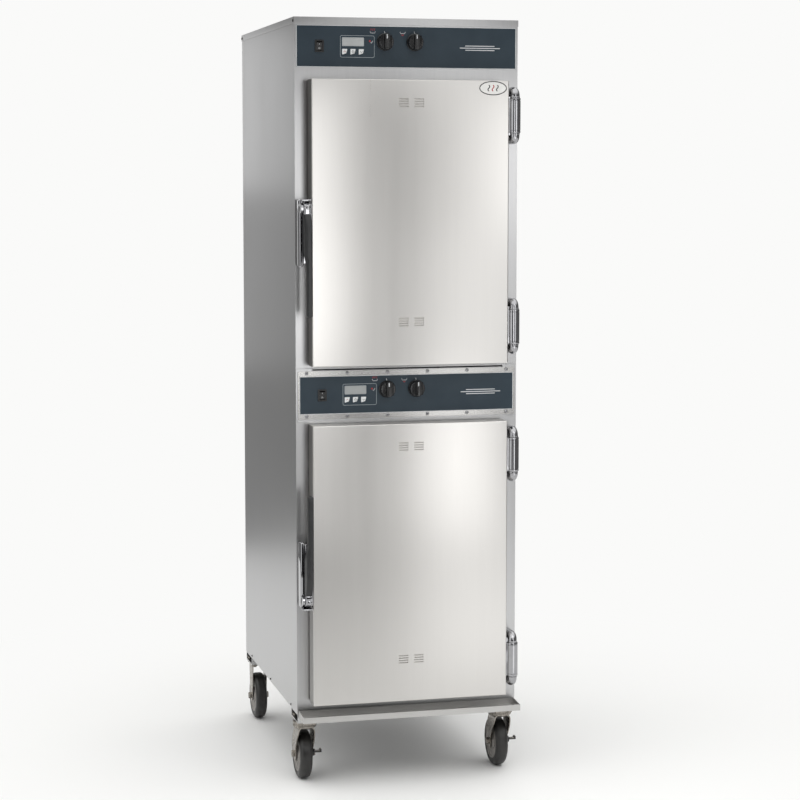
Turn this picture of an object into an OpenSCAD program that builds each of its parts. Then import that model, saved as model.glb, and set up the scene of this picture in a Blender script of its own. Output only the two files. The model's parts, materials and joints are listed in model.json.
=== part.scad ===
// Two-compartment proofing and holding cabinet on casters.
// Millimetres, +Z up, origin on the floor under the middle of the whole cabinet, front towards -Y.

/* [Casing] */
// Width of the casing
body_w = 572; // [520:1:700]
// Depth of the casing, front frame to back panel
body_d = 745; // [640:1:900]
// Height of the top above the floor
body_h = 1925; // [1700:1:2400]
// Thickness of the outer sheet
casing_t = 1.2; // [0.8:0.1:2]
// Thickness of the front frame's sheet
frame_t = 1.5; // [1:0.1:2.5]
// Height of the skirt round the top cover
skirt_h = 17; // [12:1:30]
// How far the front frame folds back along each side
frame_return = 16; // [8:1:30]
// How far the back panel folds forward along each side
back_return = 38; // [20:1:60]

/* [Front layout] */
// Casing's underside to the lower door
sill_h = 33; // [24:1:60]
// Lower door to upper door
mid_h = 146; // [140:1:200]
// Upper door to the top
head_h = 153; // [148:1:200]
// Front frame showing on the latch side of the doors
latch_stile = 30; // [28:1:40]
// Front frame showing on the hinge side of the doors
hinge_stile = 40; // [38:1:60]

/* [Doors] */
// Thickness of a door without its gasket
door_t = 50; // [40:1:70]
// Space between door and front frame, which the gasket fills
gasket_gap = 10; // [6:1:14]
// How far a door covers the frame round its opening
door_lap = 24; // [20:1:30]
// Sheet of the door skin and inner panel
door_sheet = 1.2; // [0.8:0.1:2]
// How far the inner panel's raised middle reaches towards the compartment
inner_rise = 6; // [2:1:8]
// Width of the gasket
gasket_w = 14; // [8:1:18]
// Top edge of a door to its upper vents
vent_top = 46; // [30:1:90]
// Bottom edge of a door to its lower vents
vent_bottom = 98; // [40:1:140]
// Length of a vent slot
vent_slot = 25; // [15:1:40]
// Distance between the two vent groups
vent_gap = 14.5; // [8:0.5:40]

/* [Hinges] */
// Outer radius of the door's knuckle
knuckle_r = 14; // [11:0.5:16]
// Length of the knuckle
knuckle_l = 87; // [60:1:120]
// Radius of the bracket's elbows
elbow_r = 11.8; // [9:0.1:13]
// Knuckle's end to the outside of the elbow
elbow_h = 27.5; // [20:0.5:40]
// Radius of the hinge pin
hinge_pin_r = 5; // [3:0.5:6]
// Door's top edge to the middle of the upper hinge
hinge_top = 86; // [75:1:140]
// Door's bottom edge to the middle of the lower hinge
hinge_bottom = 92; // [75:1:140]

/* [Latches] */
// Upper door's middle up to its latch pivot
upper_latch_up = 38; // [0:1:60]
// Lower door's middle up to its latch pivot
lower_latch_up = -85; // [-120:1:0]
// Pivot to the end of the grip
grip_l = 268; // [220:1:300]
// Pivot to the end of the chrome housing
housing_l = 145; // [110:1:150]
// Radius of the latch's pivot pin
latch_pin_r = 4; // [2.5:0.5:5]

/* [Controls] */
// Height of the upper control overlay
upper_overlay_h = 102; // [90:1:110]
// Height of the lower control overlay
lower_overlay_h = 95; // [85:1:105]
// Radius of a knob's skirt
knob_r = 21.5; // [15:0.5:25]
// Depth of a knob
knob_l = 24; // [18:1:30]
// Radius of a knob's spindle
spindle_r = 3; // [2:0.5:4]
// Width of the power switch's housing
switch_w = 22.5; // [18:0.5:26]
// Height of the power switch's housing
switch_h = 29.5; // [24:0.5:34]

/* [Compartments] */
// Thickness of the liner's sheet
liner_t = 1; // [0.8:0.1:1.5]
// Space behind each liner for insulation
back_gap = 85; // [60:1:110]
// Shelves in each compartment
shelf_count = 3; // [1:1:4]
// Radius of a shelf's frame rod
rod_r = 3; // [2.5:0.1:4]
// Radius of a shelf's thin wires
wire_r = 1.8; // [1.2:0.1:2.4]
// Thin wires in a shelf
wire_count = 13; // [9:1:19]
// Height of the drip pan in each compartment
pan_h = 18; // [12:1:25]

/* [Front drip tray] */
// How far the tray stands out from the front frame
tray_d = 62; // [45:1:70]
// Height of the tray's front lip
tray_h = 15; // [10:1:20]

/* [Casters] */
// Diameter of a wheel
wheel_d = 127; // [100:1:127]
// Width of a wheel's tread
wheel_w = 32; // [28:1:34]
// Height of a caster, floor to the top of its plate
caster_h = 160; // [156:1:180]
// Height of the bolster between the plates and the casing
bolster_h = 23; // [18:1:40]
// Caster's swivel axis to the side of the casing
caster_in_x = 27; // [27:1:60]
// Caster's swivel axis to the front or back of the casing
caster_in_y = 42; // [42:1:70]
// How far a front wheel trails its swivel axis
trail = 30; // [20:1:36]
// Radius of the wheel bolts
axle_r = 6; // [4:0.5:7]

/* [Hidden] */
$fn = 48;

// Clearances
run_gap = 0.3;          // between bodies that move past each other
pin_gap = 0.05;         // radial, between a pin and its bore
seat_gap = 0.1;         // between a rod and what it rests on
eps = 0.01;             // how far a cut runs past a face

// Places along the front
handle_reach = 86;      // front frame to the foremost point of a latch grip
front_y = -(body_d - caster_in_y + wheel_d / 2 - handle_reach) / 2;
base_h = caster_h + bolster_h;
door_w = body_w - latch_stile - hinge_stile;
door_h = (body_h - base_h - sill_h - mid_h - head_h) / 2;
lower_door_z = base_h + sill_h;
upper_door_z = lower_door_z + door_h + mid_h;
door_front = -(gasket_gap + door_t);
door_mid_x = latch_stile + door_w / 2;
cavity_w = door_w - 2 * door_lap;
cavity_h = door_h - 2 * door_lap;
cavity_d = body_d - back_gap;
cavity_x = latch_stile + door_lap;
function cavity_z(door_z) = door_z + door_lap;

// Vents
vent_slots = 4;
vent_slot_h = 3;
vent_pitch = 6;
vent_group_h = (vent_slots - 1) * vent_pitch + vent_slot_h;

// Hinges
hinge_x = latch_stile + door_w + 2.7 + knuckle_r;
hinge_y = door_front + 5;
leaf_t = 2;
bracket_t = 3;

// Latches
pivot_y = -55;
strike_t = 3;
housing_x = 2;
housing_w = 11;
housing_front = -42;
ear_t = 6.5;
flange_t = 2.4;
lever_x = housing_x + ear_t + run_gap;
lever_w = latch_stile - flange_t - run_gap - lever_x;
lever_top = 18;
grip_start = 14;
grip_front = -handle_reach;
grip_depth = 17;
tongue_l = 70;

// Controls
overlay_t = 0.6;
overlay_side = 5;
grip_bar_w = 12;
fascia_t = 2;
fascia_edge = 5;
fascia_z = lower_door_z + door_h + 10;
fascia_h = mid_h - 25;
upper_overlay_z = body_h - 20 - upper_overlay_h;
lower_overlay_z = fascia_z + (fascia_h - lower_overlay_h) / 2;
switch_dx = 57.5;       // measured from the overlay's left edge
rocker_pin_r = 1.5;
display_dx = 153.5;
display_w = 87;
display_h = 54;
window_w = 55;
window_h = 21;
window_dx = 142.5;
window_dz = 11.5;       // measured from the overlay's middle height
key_w = 13;
key_h = 13.5;
key_pitch = 21;
key_dz = -13;
knob_dx = [223.5, 299.5];
knob_dz = 12;
lower_overlay_side = 9;
screw_r = 4.6;
fascia_screws = 6;
fascia_screw_pitch = (body_w - 54) / (fascia_screws - 1);

// Compartments
cable_t = 4;
cable_pitch = 60;
cable_gap = 1;
blanket_gap = 3;
rack_bar = 4;
rack_stud = 4;
rack_bar_w = 20;
rack_step = 62;
pan_gap = 6;
cross_r = rod_r - 0.4;
shelf_y = 30;
shelf_l = cavity_d - 60;
rack_inset = 90;
rail_sink = 1;          // how far a rail is let into its posts
rail_x = rack_stud + rack_bar + rod_r - rail_sink;
shelf_in = rail_sink + run_gap;
shelf_rise = sqrt(pow(2 * rod_r + seat_gap, 2) - pow(shelf_in, 2));
function rack_low(door_z) = cavity_z(door_z) + 60;
rack_levels = floor((cavity_h - 120) / rack_step) + 1;
shelf_level = [for (i = [1:shelf_count]) floor(i * rack_levels / (shelf_count + 1))];

// Front drip tray
tray_side = 3;
tray_t = 1.2;
tray_back = 3;
tray_z = base_h - 9;
tray_rear_h = 19;
runner_t = 2;
runner_in = 70;

// Casters
plate_w = 50;
plate_l = 80;
plate_t = 3;
plate_bolt_x = 17;
plate_bolt_y = 33;
plate_bolt_r = 4;
head_r = 30;
race_t = 7;
crown_t = 9;
leg_t = 3;
leg_gap = 2;
leg_w = wheel_w / 2 + leg_gap;
kingpin_r = 6;
nut_r = 9;
nut_t = 7;
hub_r = wheel_d / 2 - 19;
brake_w = 4;
pedal_l = 22;
bolster_w = 84;
bolster_t = 3;
race_z = caster_h - plate_t - race_t;
crown_z = race_z - run_gap - crown_t;
axle_z = wheel_d / 2;
front_caster_y = caster_in_y;
rear_caster_y = body_d - caster_in_y;
function caster_x(right) = right ? body_w - caster_in_x : caster_in_x;

// Cord gland
gland_x = body_w - 110;
gland_z = body_h - 80;
gland_r = 12;
cord_bore_r = 7;

// ---------------------------------------------------------------- helpers

module placed() {
    translate([-body_w / 2, front_y, 0]) children();
}

module box(x0, x1, y0, y1, z0, z1) {
    translate([x0, y0, z0]) cube([x1 - x0, y1 - y0, z1 - z0]);
}

module rod_x(x, y, z, r, l) {
    translate([x, y, z]) rotate([0, 90, 0]) cylinder(r = r, h = l);
}

module rod_y(x, y, z, r, l) {
    translate([x, y, z]) rotate([-90, 0, 0]) cylinder(r = r, h = l);
}

module rod_z(x, y, z, r, l) {
    translate([x, y, z]) cylinder(r = r, h = l);
}

// A domed screw head that faces -Y, with its flat side at y
module screw_front(x, y, z, r) {
    translate([x, y, z]) rotate([90, 0, 0]) intersection() {
        cylinder(r = r, h = 2.6);
        translate([0, 0, 2.6 - r * 1.6]) sphere(r = r * 1.6);
    }
}

// A domed screw head on a side panel, facing -X, or +X when right
module screw_side(x, y, z, r, right) {
    translate([x, y, z]) rotate([0, right ? 90 : -90, 0]) intersection() {
        cylinder(r = r, h = 2.2);
        translate([0, 0, 2.2 - r * 1.6]) sphere(r = r * 1.6);
    }
}

// Four slots, one above the other, cut along Y from y0 to y1
module vent_group(x, z, y0, y1) {
    for (i = [0:vent_slots - 1])
        box(x, x + vent_slot, y0, y1, z + i * vent_pitch, z + i * vent_pitch + vent_slot_h);
}

// The four vent groups of a door
module vents(door_z, y0, y1) {
    for (x = [door_mid_x - vent_gap / 2 - vent_slot, door_mid_x + vent_gap / 2])
        for (z = [door_z + vent_bottom, door_z + door_h - vent_top - vent_group_h])
            vent_group(x, z, y0, y1);
}

// ---------------------------------------------------------------- casing

module caster_plate_holes(z, h, r) {
    for (x = [caster_x(false), caster_x(true)])
        for (y = [front_caster_y, rear_caster_y])
            for (i = [-1, 1])
                for (j = [-1, 1])
                    rod_z(x + i * plate_bolt_x, y + j * plate_bolt_y, z, r, h);
}

module bolster(y) {
    difference() {
        box(casing_t, body_w - casing_t, y - bolster_w / 2, y + bolster_w / 2, caster_h, base_h);
        box(casing_t - eps, body_w - casing_t + eps, y - bolster_w / 2 + bolster_t,
            y + bolster_w / 2 - bolster_t, caster_h + bolster_t, base_h - bolster_t);
    }
}

module base_frame() color("silver") placed() {
    difference() {
        union() {
            bolster(front_caster_y);
            bolster(rear_caster_y);
            box(casing_t, body_w - casing_t, frame_t, body_d - casing_t, base_h, base_h + frame_t);
            for (x = [runner_in, body_w - runner_in - 20])
                box(x, x + 20, -tray_d + 6, 12, tray_z - run_gap - runner_t, tray_z - run_gap);
        }
        caster_plate_holes(caster_h - 1, bolster_t + 2, plate_bolt_r + 0.3);
    }
}

// Side panel with two inward flanges; the one at the bottom sits on the base pan
module side_panel(x) {
    inner = x == 0 ? casing_t : x - 8;
    box(x, x + casing_t, frame_return + 0.5, body_d - back_return - 0.5, base_h, body_h - casing_t);
    for (z = [base_h + frame_t, body_h - casing_t - 14])
        box(inner, inner + 8, 30, body_d - 60, z, z + 1);
}

module left_side_panel() color("silver") placed() side_panel(0);

module right_side_panel() color("silver") placed() side_panel(body_w - casing_t);

module back_panel() color("silver") placed() difference() {
    union() {
        box(0, body_w, body_d - casing_t, body_d, base_h, body_h - casing_t);
        box(0, casing_t, body_d - back_return, body_d, base_h, body_h - casing_t);
        box(body_w - casing_t, body_w, body_d - back_return, body_d, base_h, body_h - casing_t);
    }
    rod_y(gland_x, body_d - 10, gland_z, gland_r, 20);
    // louvre slots behind the two control spaces
    for (z = [body_h - 90, fascia_z + 30])
        for (i = [0:5])
            box(120, 240, body_d - 10, body_d + 10, z + i * 9, z + i * 9 + 4);
}

module top_cover() color("silver") placed() difference() {
    box(-casing_t, body_w + casing_t, -casing_t, body_d + casing_t, body_h - skirt_h, body_h);
    box(0, body_w, 0, body_d, body_h - skirt_h - eps, body_h - casing_t);
}

module control_cuts(x0, zc, y0, y1) {
    box(x0 + switch_dx - switch_w / 2 + 1.5, x0 + switch_dx + switch_w / 2 - 1.5, y0, y1,
        zc - switch_h / 2 + 1.5, zc + switch_h / 2 - 1.5);
    box(x0 + window_dx - window_w / 2, x0 + window_dx + window_w / 2, y0, y1,
        zc + window_dz - window_h / 2, zc + window_dz + window_h / 2);
    for (dx = knob_dx)
        rod_y(x0 + dx, y0, zc + knob_dz, spindle_r + 2.8, y1 - y0);
}

function upper_zc() = upper_overlay_z + upper_overlay_h / 2;
function lower_zc() = lower_overlay_z + lower_overlay_h / 2;

module front_frame() color("gainsboro") placed() {
    difference() {
        union() {
            box(0, body_w, 0, frame_t, base_h, body_h - casing_t);
            for (x = [0, body_w - casing_t])
                box(x, x + casing_t, 0, frame_return, base_h, body_h - casing_t);
            // drip lips above and below the lower control fascia
            for (z = [fascia_z + fascia_h + 6, fascia_z - 5])
                box(4, body_w - 4, -6, 0, z, z + 1.5);
        }
        for (z = [lower_door_z, upper_door_z])
            box(cavity_x, cavity_x + cavity_w, -1, frame_t + 1, cavity_z(z), cavity_z(z) + cavity_h);
        // cooling slot between the fascia and the drip lip
        box(42, body_w - 36, -1, frame_t + 1, fascia_z + fascia_h + 1.2, fascia_z + fascia_h + 5);
        control_cuts(overlay_side, upper_zc(), -1, frame_t + 1);
        control_cuts(lower_overlay_side, lower_zc(), -1, frame_t + 1);
    }
}

// ---------------------------------------------------------------- compartments

module liner(door_z) {
    z0 = cavity_z(door_z);
    difference() {
        box(cavity_x - liner_t, cavity_x + cavity_w + liner_t, frame_t, cavity_d + liner_t,
            z0 - liner_t, z0 + cavity_h + liner_t);
        box(cavity_x, cavity_x + cavity_w, frame_t - 1, cavity_d, z0, z0 + cavity_h);
    }
}

module upper_liner() color("lightgray") placed() liner(upper_door_z);

module lower_liner() color("lightgray") placed() liner(lower_door_z);

module ring_y(y0, y1, door_z, inner, outer) {
    z0 = cavity_z(door_z);
    difference() {
        box(cavity_x - outer, cavity_x + cavity_w + outer, y0, y1, z0 - outer, z0 + cavity_h + outer);
        box(cavity_x - inner, cavity_x + cavity_w + inner, y0 - 1, y1 + 1, z0 - inner, z0 + cavity_h + inner);
    }
}

module heating_cable(door_z) {
    inner = liner_t + cable_gap;
    z0 = cavity_z(door_z);
    for (y = [40:cable_pitch:cavity_d - 40])
        ring_y(y, y + cable_t, door_z, inner, inner + cable_t);
    box(cavity_x + cavity_w + inner, cavity_x + cavity_w + inner + cable_t, 40, cavity_d - 40, z0 + 40, z0 + 44);
}

module heating_cables() color("firebrick") placed()
    for (z = [lower_door_z, upper_door_z]) heating_cable(z);

module blanket(door_z) {
    inner = liner_t + cable_gap + cable_t + cable_gap;
    z0 = cavity_z(door_z);
    difference() {
        box(casing_t + 10, body_w - casing_t - 10, frame_t + 3, body_d - casing_t - 12, z0 - 22, z0 + cavity_h + 22);
        box(cavity_x - inner, cavity_x + cavity_w + inner, frame_t, cavity_d + inner, z0 - inner, z0 + cavity_h + inner);
    }
}

module insulation() color("khaki") placed()
    for (z = [lower_door_z, upper_door_z]) blanket(z);

// One side's rack: two posts on studs, and the rails that the shelves slide on
module side_rack(wall_x, inward, door_z) {
    low = rack_low(door_z);
    top = low + (rack_levels - 1) * rack_step;
    bar_x = inward > 0 ? wall_x + rack_stud : wall_x - rack_stud - rack_bar;
    stud_x = inward > 0 ? wall_x : wall_x - rack_stud - 1;
    for (y = [rack_inset, cavity_d - rack_inset]) {
        box(bar_x, bar_x + rack_bar, y - rack_bar_w / 2, y + rack_bar_w / 2, low - 25, top + 25);
        for (z = [low - 12, top + 12])
            rod_x(stud_x, y, z, 4, rack_stud + 1);
    }
    for (i = [0:rack_levels - 1])
        rod_y(wall_x + inward * rail_x, shelf_y + 10, low + i * rack_step, rod_r, shelf_l - 20);
}

module side_racks() color("silver") placed()
    for (z = [lower_door_z, upper_door_z]) {
        side_rack(cavity_x, 1, z);
        side_rack(cavity_x + cavity_w, -1, z);
    }

// A wire shelf: two side rods, three cross rods and thin wires laid over them
module shelf(z) {
    x0 = cavity_x + rail_x + shelf_in;
    x1 = cavity_x + cavity_w - rail_x - shelf_in;
    for (x = [x0, x1])
        rod_y(x, shelf_y, z, rod_r, shelf_l);
    for (i = [0:2])
        rod_x(x0, shelf_y + rod_r + i * (shelf_l - 2 * rod_r) / 2, z, cross_r, x1 - x0);
    for (i = [1:wire_count])
        rod_y(x0 + i * (x1 - x0) / (wire_count + 1), shelf_y + 1, z + cross_r + wire_r - 1, wire_r, shelf_l - 2);
}

module shelves(door_z) {
    for (level = shelf_level)
        shelf(rack_low(door_z) + level * rack_step + shelf_rise);
}

module upper_shelves() color("silver") placed() shelves(upper_door_z);

module lower_shelves() color("silver") placed() shelves(lower_door_z);

module drip_pan(door_z) {
    z0 = cavity_z(door_z);
    difference() {
        box(cavity_x + pan_gap, cavity_x + cavity_w - pan_gap, 25, cavity_d - 25, z0, z0 + pan_h);
        box(cavity_x + pan_gap + 1.5, cavity_x + cavity_w - pan_gap - 1.5, 26.5, cavity_d - 26.5, z0 + 1.5, z0 + pan_h + 1);
    }
}

module drip_pans() color("silver") placed()
    for (z = [lower_door_z, upper_door_z]) drip_pan(z);

// ---------------------------------------------------------------- controls

module overlay(x0, x1, z0, h, y) {
    difference() {
        box(x0, x1, y - overlay_t, y, z0, z0 + h);
        control_cuts(x0, z0 + h / 2, y - 1, y + 1);
    }
}

module control_overlays() color("darkslategray") placed() {
    overlay(overlay_side, body_w - overlay_side, upper_overlay_z, upper_overlay_h, 0);
    overlay(lower_overlay_side, body_w - lower_overlay_side, lower_overlay_z, lower_overlay_h, -fascia_t);
}

module lower_fascia() color("gainsboro") placed() difference() {
    box(fascia_edge, body_w - fascia_edge, -fascia_t, 0, fascia_z, fascia_z + fascia_h);
    control_cuts(lower_overlay_side, lower_zc(), -fascia_t - 1, 1);
}

// Window and keypad of one control panel, on an overlay whose face is at y
module display(x0, zc, y) {
    xw = x0 + window_dx;
    zw = zc + window_dz;
    box(xw - window_w / 2 + 0.3, xw + window_w / 2 - 0.3, y + 0.2, 16, zw - window_h / 2 + 0.3, zw + window_h / 2 - 0.3);
    difference() {
        union() {
            box(x0 + display_dx - display_w / 2, x0 + display_dx + display_w / 2, y - 0.4, y,
                zc - display_h / 2, zc + display_h / 2);
            for (i = [-1:1])
                box(xw + i * key_pitch - key_w / 2, xw + i * key_pitch + key_w / 2, y - 0.8, y - 0.2,
                    zc + key_dz - key_h / 2, zc + key_dz + key_h / 2);
        }
        box(xw - window_w / 2, xw + window_w / 2, y - 2, y + 1, zw - window_h / 2, zw + window_h / 2);
    }
}

module control_displays() color("lightgray") placed() {
    display(overlay_side, upper_zc(), -overlay_t);
    display(lower_overlay_side, lower_zc(), -fascia_t - overlay_t);
}

// A rocker switch's housing, open at the front, on an overlay whose face is at y
module switch_housing(x0, zc, y) {
    xs = x0 + switch_dx;
    difference() {
        union() {
            box(xs - switch_w / 2, xs + switch_w / 2, y - 2, y, zc - switch_h / 2, zc + switch_h / 2);
            box(xs - switch_w / 2 + 1.7, xs + switch_w / 2 - 1.7, y - 1, y + 26,
                zc - switch_h / 2 + 1.7, zc + switch_h / 2 - 1.7);
        }
        box(xs - switch_w / 2 + 4, xs + switch_w / 2 - 4, y - 3, y + 14, zc - switch_h / 2 + 3, zc + switch_h / 2 - 3);
        rod_x(xs - switch_w / 2 + 2.2, y + 6, zc, rocker_pin_r + pin_gap, switch_w - 4.4);
    }
}

module switch_housings() color("black") placed() {
    switch_housing(overlay_side, upper_zc(), -overlay_t);
    switch_housing(lower_overlay_side, lower_zc(), -fascia_t - overlay_t);
}

module rocker(x0, zc, y) {
    xs = x0 + switch_dx;
    rx = switch_w / 2 - 4 - run_gap;
    rod_x(xs - switch_w / 2 + 2.4, y + 6, zc, rocker_pin_r, switch_w - 4.8);
    translate([xs, y + 6, zc]) intersection() {
        rotate([0, 90, 0]) translate([0, 0, -rx]) linear_extrude(2 * rx)
            polygon([[-10.2, -8.6], [0, -6.6], [10.2, -5.4], [9.4, 0], [4, 5], [-4, 5], [-9.4, 0]]);
        rod_x(-rx, 0, 0, 11.4, 2 * rx);
    }
}

module upper_rocker() color("dimgray") placed() rocker(overlay_side, upper_zc(), -overlay_t);

module lower_rocker() color("dimgray") placed() rocker(lower_overlay_side, lower_zc(), -fascia_t - overlay_t);

// Thermostat behind a panel: a case and a bushing that the knob's spindle turns in
module thermostat(x, z) {
    difference() {
        union() {
            box(x - 20, x + 20, 8, 44, z - 25, z + 17);
            rod_y(x, -0.4, z, spindle_r + 2.4, 10);
        }
        rod_y(x, -2, z, spindle_r + pin_gap, 26);
    }
}

// Sensing bulb on two clips at the back of a compartment
module bulb(door_z) {
    z = cavity_z(door_z) + cavity_h - 34;
    x = door_mid_x - 60;
    rod_x(x, cavity_d - 12, z, 4, 120);
    for (dx = [20, 90])
        box(x + dx, x + dx + 10, cavity_d - 12, cavity_d, z - 6, z + 6);
}

module thermostats() color("gray") placed() {
    for (dx = knob_dx) {
        thermostat(overlay_side + dx, upper_zc() + knob_dz);
        thermostat(lower_overlay_side + dx, lower_zc() + knob_dz);
    }
    bulb(upper_door_z);
    bulb(lower_door_z);
}

// A knob with its spindle; y is the face of the overlay it stands on
module knob(x, z, y) {
    translate([x, y - 1, z]) rotate([90, 0, 0]) {
        cylinder(r = knob_r, h = 4);
        cylinder(r = knob_r - 1.5, h = knob_l - 9);
        intersection() {
            translate([-grip_bar_w / 2, -knob_r, 0]) cube([grip_bar_w, 2 * knob_r, knob_l]);
            cylinder(r = knob_r - 1.8, h = knob_l);
        }
        translate([0, 0, -24]) cylinder(r = spindle_r, h = 26);
    }
}

module upper_knob(i) placed() knob(overlay_side + knob_dx[i], upper_zc() + knob_dz, -overlay_t);

module lower_knob(i) placed() knob(lower_overlay_side + knob_dx[i], lower_zc() + knob_dz, -fascia_t - overlay_t);

// ---------------------------------------------------------------- hinges

function hinge_mids(door_z) = [door_z + hinge_bottom, door_z + door_h - hinge_top];

// Two elbows that hold the pin, on a plate screwed to the front frame
module hinge_bracket(zm) {
    half = knuckle_l / 2 + run_gap;
    bend = knuckle_l / 2 + elbow_h - elbow_r;
    for (s = [-1, 1]) {
        translate([hinge_x, hinge_y, zm]) mirror([0, 0, s < 0 ? 1 : 0]) {
            translate([0, 0, half]) cylinder(r = elbow_r, h = bend - half);
            translate([0, 0, bend]) sphere(r = elbow_r);
            translate([0, 0, bend]) rotate([-90, 0, 0]) cylinder(r = elbow_r, h = -hinge_y - bracket_t + 1);
        }
    }
    rod_z(hinge_x, hinge_y, zm - half - 4, hinge_pin_r, 2 * half + 8);
    box(hinge_x - elbow_r - 1, hinge_x + elbow_r + 1, -bracket_t, 0,
        zm - knuckle_l / 2 - elbow_h, zm + knuckle_l / 2 + elbow_h);
}

module hinge_brackets() color("lightgray") placed()
    for (door_z = [lower_door_z, upper_door_z])
        for (zm = hinge_mids(door_z)) hinge_bracket(zm);

// The door's knuckle and the leaf that folds round the door's edge
module knuckle(zm) {
    edge = latch_stile + door_w;
    difference() {
        union() {
            rod_z(hinge_x, hinge_y, zm - knuckle_l / 2, knuckle_r, knuckle_l);
            box(edge, hinge_x - knuckle_r / 2, hinge_y - 3, hinge_y + 6, zm - knuckle_l / 2, zm + knuckle_l / 2);
            box(edge, edge + leaf_t, hinge_y, -gasket_gap - 8, zm - knuckle_l / 2, zm + knuckle_l / 2);
        }
        rod_z(hinge_x, hinge_y, zm - knuckle_l, hinge_pin_r + pin_gap, 2 * knuckle_l);
    }
}

module knuckles(door_z) {
    for (zm = hinge_mids(door_z)) knuckle(zm);
}

// ---------------------------------------------------------------- doors

module door_skin(door_z) difference() {
    x1 = latch_stile + door_w;
    s = door_sheet;
    box(latch_stile, x1, door_front, -gasket_gap, door_z, door_z + door_h);
    box(latch_stile + s, x1 - s, door_front + s, 0, door_z + s, door_z + door_h - s);
    vents(door_z, door_front - 1, door_front + s + 1);
}

module door_inner(door_z) difference() {
    s = door_sheet;
    m = door_lap + 6;
    union() {
        box(latch_stile + s, latch_stile + door_w - s, -gasket_gap - s, -gasket_gap, door_z + s, door_z + door_h - s);
        box(latch_stile + m, latch_stile + door_w - m, -gasket_gap - eps, -gasket_gap + inner_rise,
            door_z + m, door_z + door_h - m);
    }
    box(latch_stile + m + s, latch_stile + door_w - m - s, -gasket_gap - s - 1, -gasket_gap + inner_rise - s,
        door_z + m + s, door_z + door_h - m - s);
    vents(door_z, -gasket_gap - 3, 1);
}

module door_core(door_z) difference() {
    s = door_sheet + 0.3;
    box(latch_stile + s, latch_stile + door_w - s, door_front + s, -gasket_gap - s, door_z + s, door_z + door_h - s);
    for (z = [door_z + vent_bottom, door_z + door_h - vent_top - vent_group_h])
        box(door_mid_x - vent_gap / 2 - vent_slot - 3, door_mid_x + vent_gap / 2 + vent_slot + 3,
            door_front - 1, 0, z - 3, z + vent_group_h + 3);
}

module door_gasket(door_z) difference() {
    m = 3;
    box(latch_stile + m, latch_stile + door_w - m, -gasket_gap, -run_gap, door_z + m, door_z + door_h - m);
    box(latch_stile + m + gasket_w, latch_stile + door_w - m - gasket_w, -gasket_gap - 1, 1,
        door_z + m + gasket_w, door_z + door_h - m - gasket_w);
}

module door_badge() color("white") placed()
    translate([latch_stile + door_w - 42, door_front, upper_door_z + door_h - 19]) rotate([90, 0, 0])
        scale([2, 1, 1]) cylinder(r = 18, h = 1);

// ---------------------------------------------------------------- latches

function latch_z(upper) = upper
    ? upper_door_z + door_h / 2 + upper_latch_up
    : lower_door_z + door_h / 2 + lower_latch_up;

// Puts a latch drawn with its grip downwards at its door; the lower one is upside down
module latch_place(upper) {
    translate([0, 0, latch_z(upper)]) mirror([0, 0, upper ? 0 : 1]) children();
}

// Magnetic housing on the door's edge, with an ear for the lever's pin
module latch_housing() {
    back = -strike_t - 0.5;
    door_edge = latch_stile - run_gap;
    difference() {
        union() {
            box(housing_x, housing_x + housing_w, housing_front, back, -housing_l, lever_top + 4 - 11);
            rod_y(housing_x + housing_w / 2, housing_front, -housing_l, housing_w / 2, back - housing_front);
            rod_x(housing_x, housing_front + 11, lever_top + 4 - 11, 11, housing_w);
            box(housing_x, housing_x + housing_w, housing_front + 11, back, 0, lever_top + 4);
            rod_x(housing_x, pivot_y, 0, 12, ear_t);
            box(housing_x, housing_x + ear_t, pivot_y, housing_front + 1, -12, 12);
            box(housing_x + 1, door_edge, -24, -14, -housing_l + 8, lever_top);
            box(latch_stile - flange_t, latch_stile, pivot_y - 5, -14, -housing_l + 8, lever_top - 6);
        }
        rod_x(housing_x - 1, pivot_y, 0, latch_pin_r + pin_gap, latch_stile + 2);
    }
}

// Chrome root of the handle, with its pivot pin and the tongue that the grip is pushed onto
module latch_lever() {
    x1 = lever_x + lever_w;
    box(lever_x, x1, pivot_y - 17, pivot_y + 8, -grip_start, 8);
    rod_x(lever_x, pivot_y - 8, 8, 9, lever_w);
    box(lever_x + 4, x1 - 4, pivot_y - 13, pivot_y - 3, -grip_start - tongue_l, -grip_start);
    rod_x(housing_x + 0.5, pivot_y, 0, latch_pin_r, latch_stile - housing_x - 1);
    translate([lever_x + lever_w / 2, pivot_y - 17, 0]) rotate([90, 0, 0]) intersection() {
        cylinder(r = 6, h = 3);
        translate([0, 0, -7]) sphere(r = 10);
    }
}

// Black grip: deep at its root, slender where the fingers go
module latch_grip() {
    x1 = lever_x + lever_w;
    back = grip_front + grip_depth;
    end_r = grip_depth / 2;
    difference() {
        union() {
            translate([x1, 0, 0]) rotate([0, -90, 0]) linear_extrude(lever_w) polygon([
                [-grip_start, pivot_y - 17], [-grip_start - 40, grip_front], [-grip_l + end_r, grip_front],
                [-grip_l + end_r, back], [-housing_l - 14, back], [-housing_l + 4, back + 4],
                [-housing_l + 16, back + 12], [-housing_l + 22, back + 18], [-grip_start, pivot_y + 8]
            ]);
            rod_x(lever_x, grip_front + end_r, -grip_l + end_r, end_r, lever_w);
        }
        box(lever_x + 4 - seat_gap, x1 - 4 + seat_gap, pivot_y - 13 - seat_gap, pivot_y - 3 + seat_gap,
            -grip_start - tongue_l - 1, -grip_start + 1);
    }
}

module latch_strikes() color("silver") placed()
    for (upper = [true, false]) latch_place(upper)
        box(housing_x + 1, latch_stile - 4, -strike_t, 0, -housing_l + 10, 0);

// ---------------------------------------------------------------- front drip tray

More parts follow.
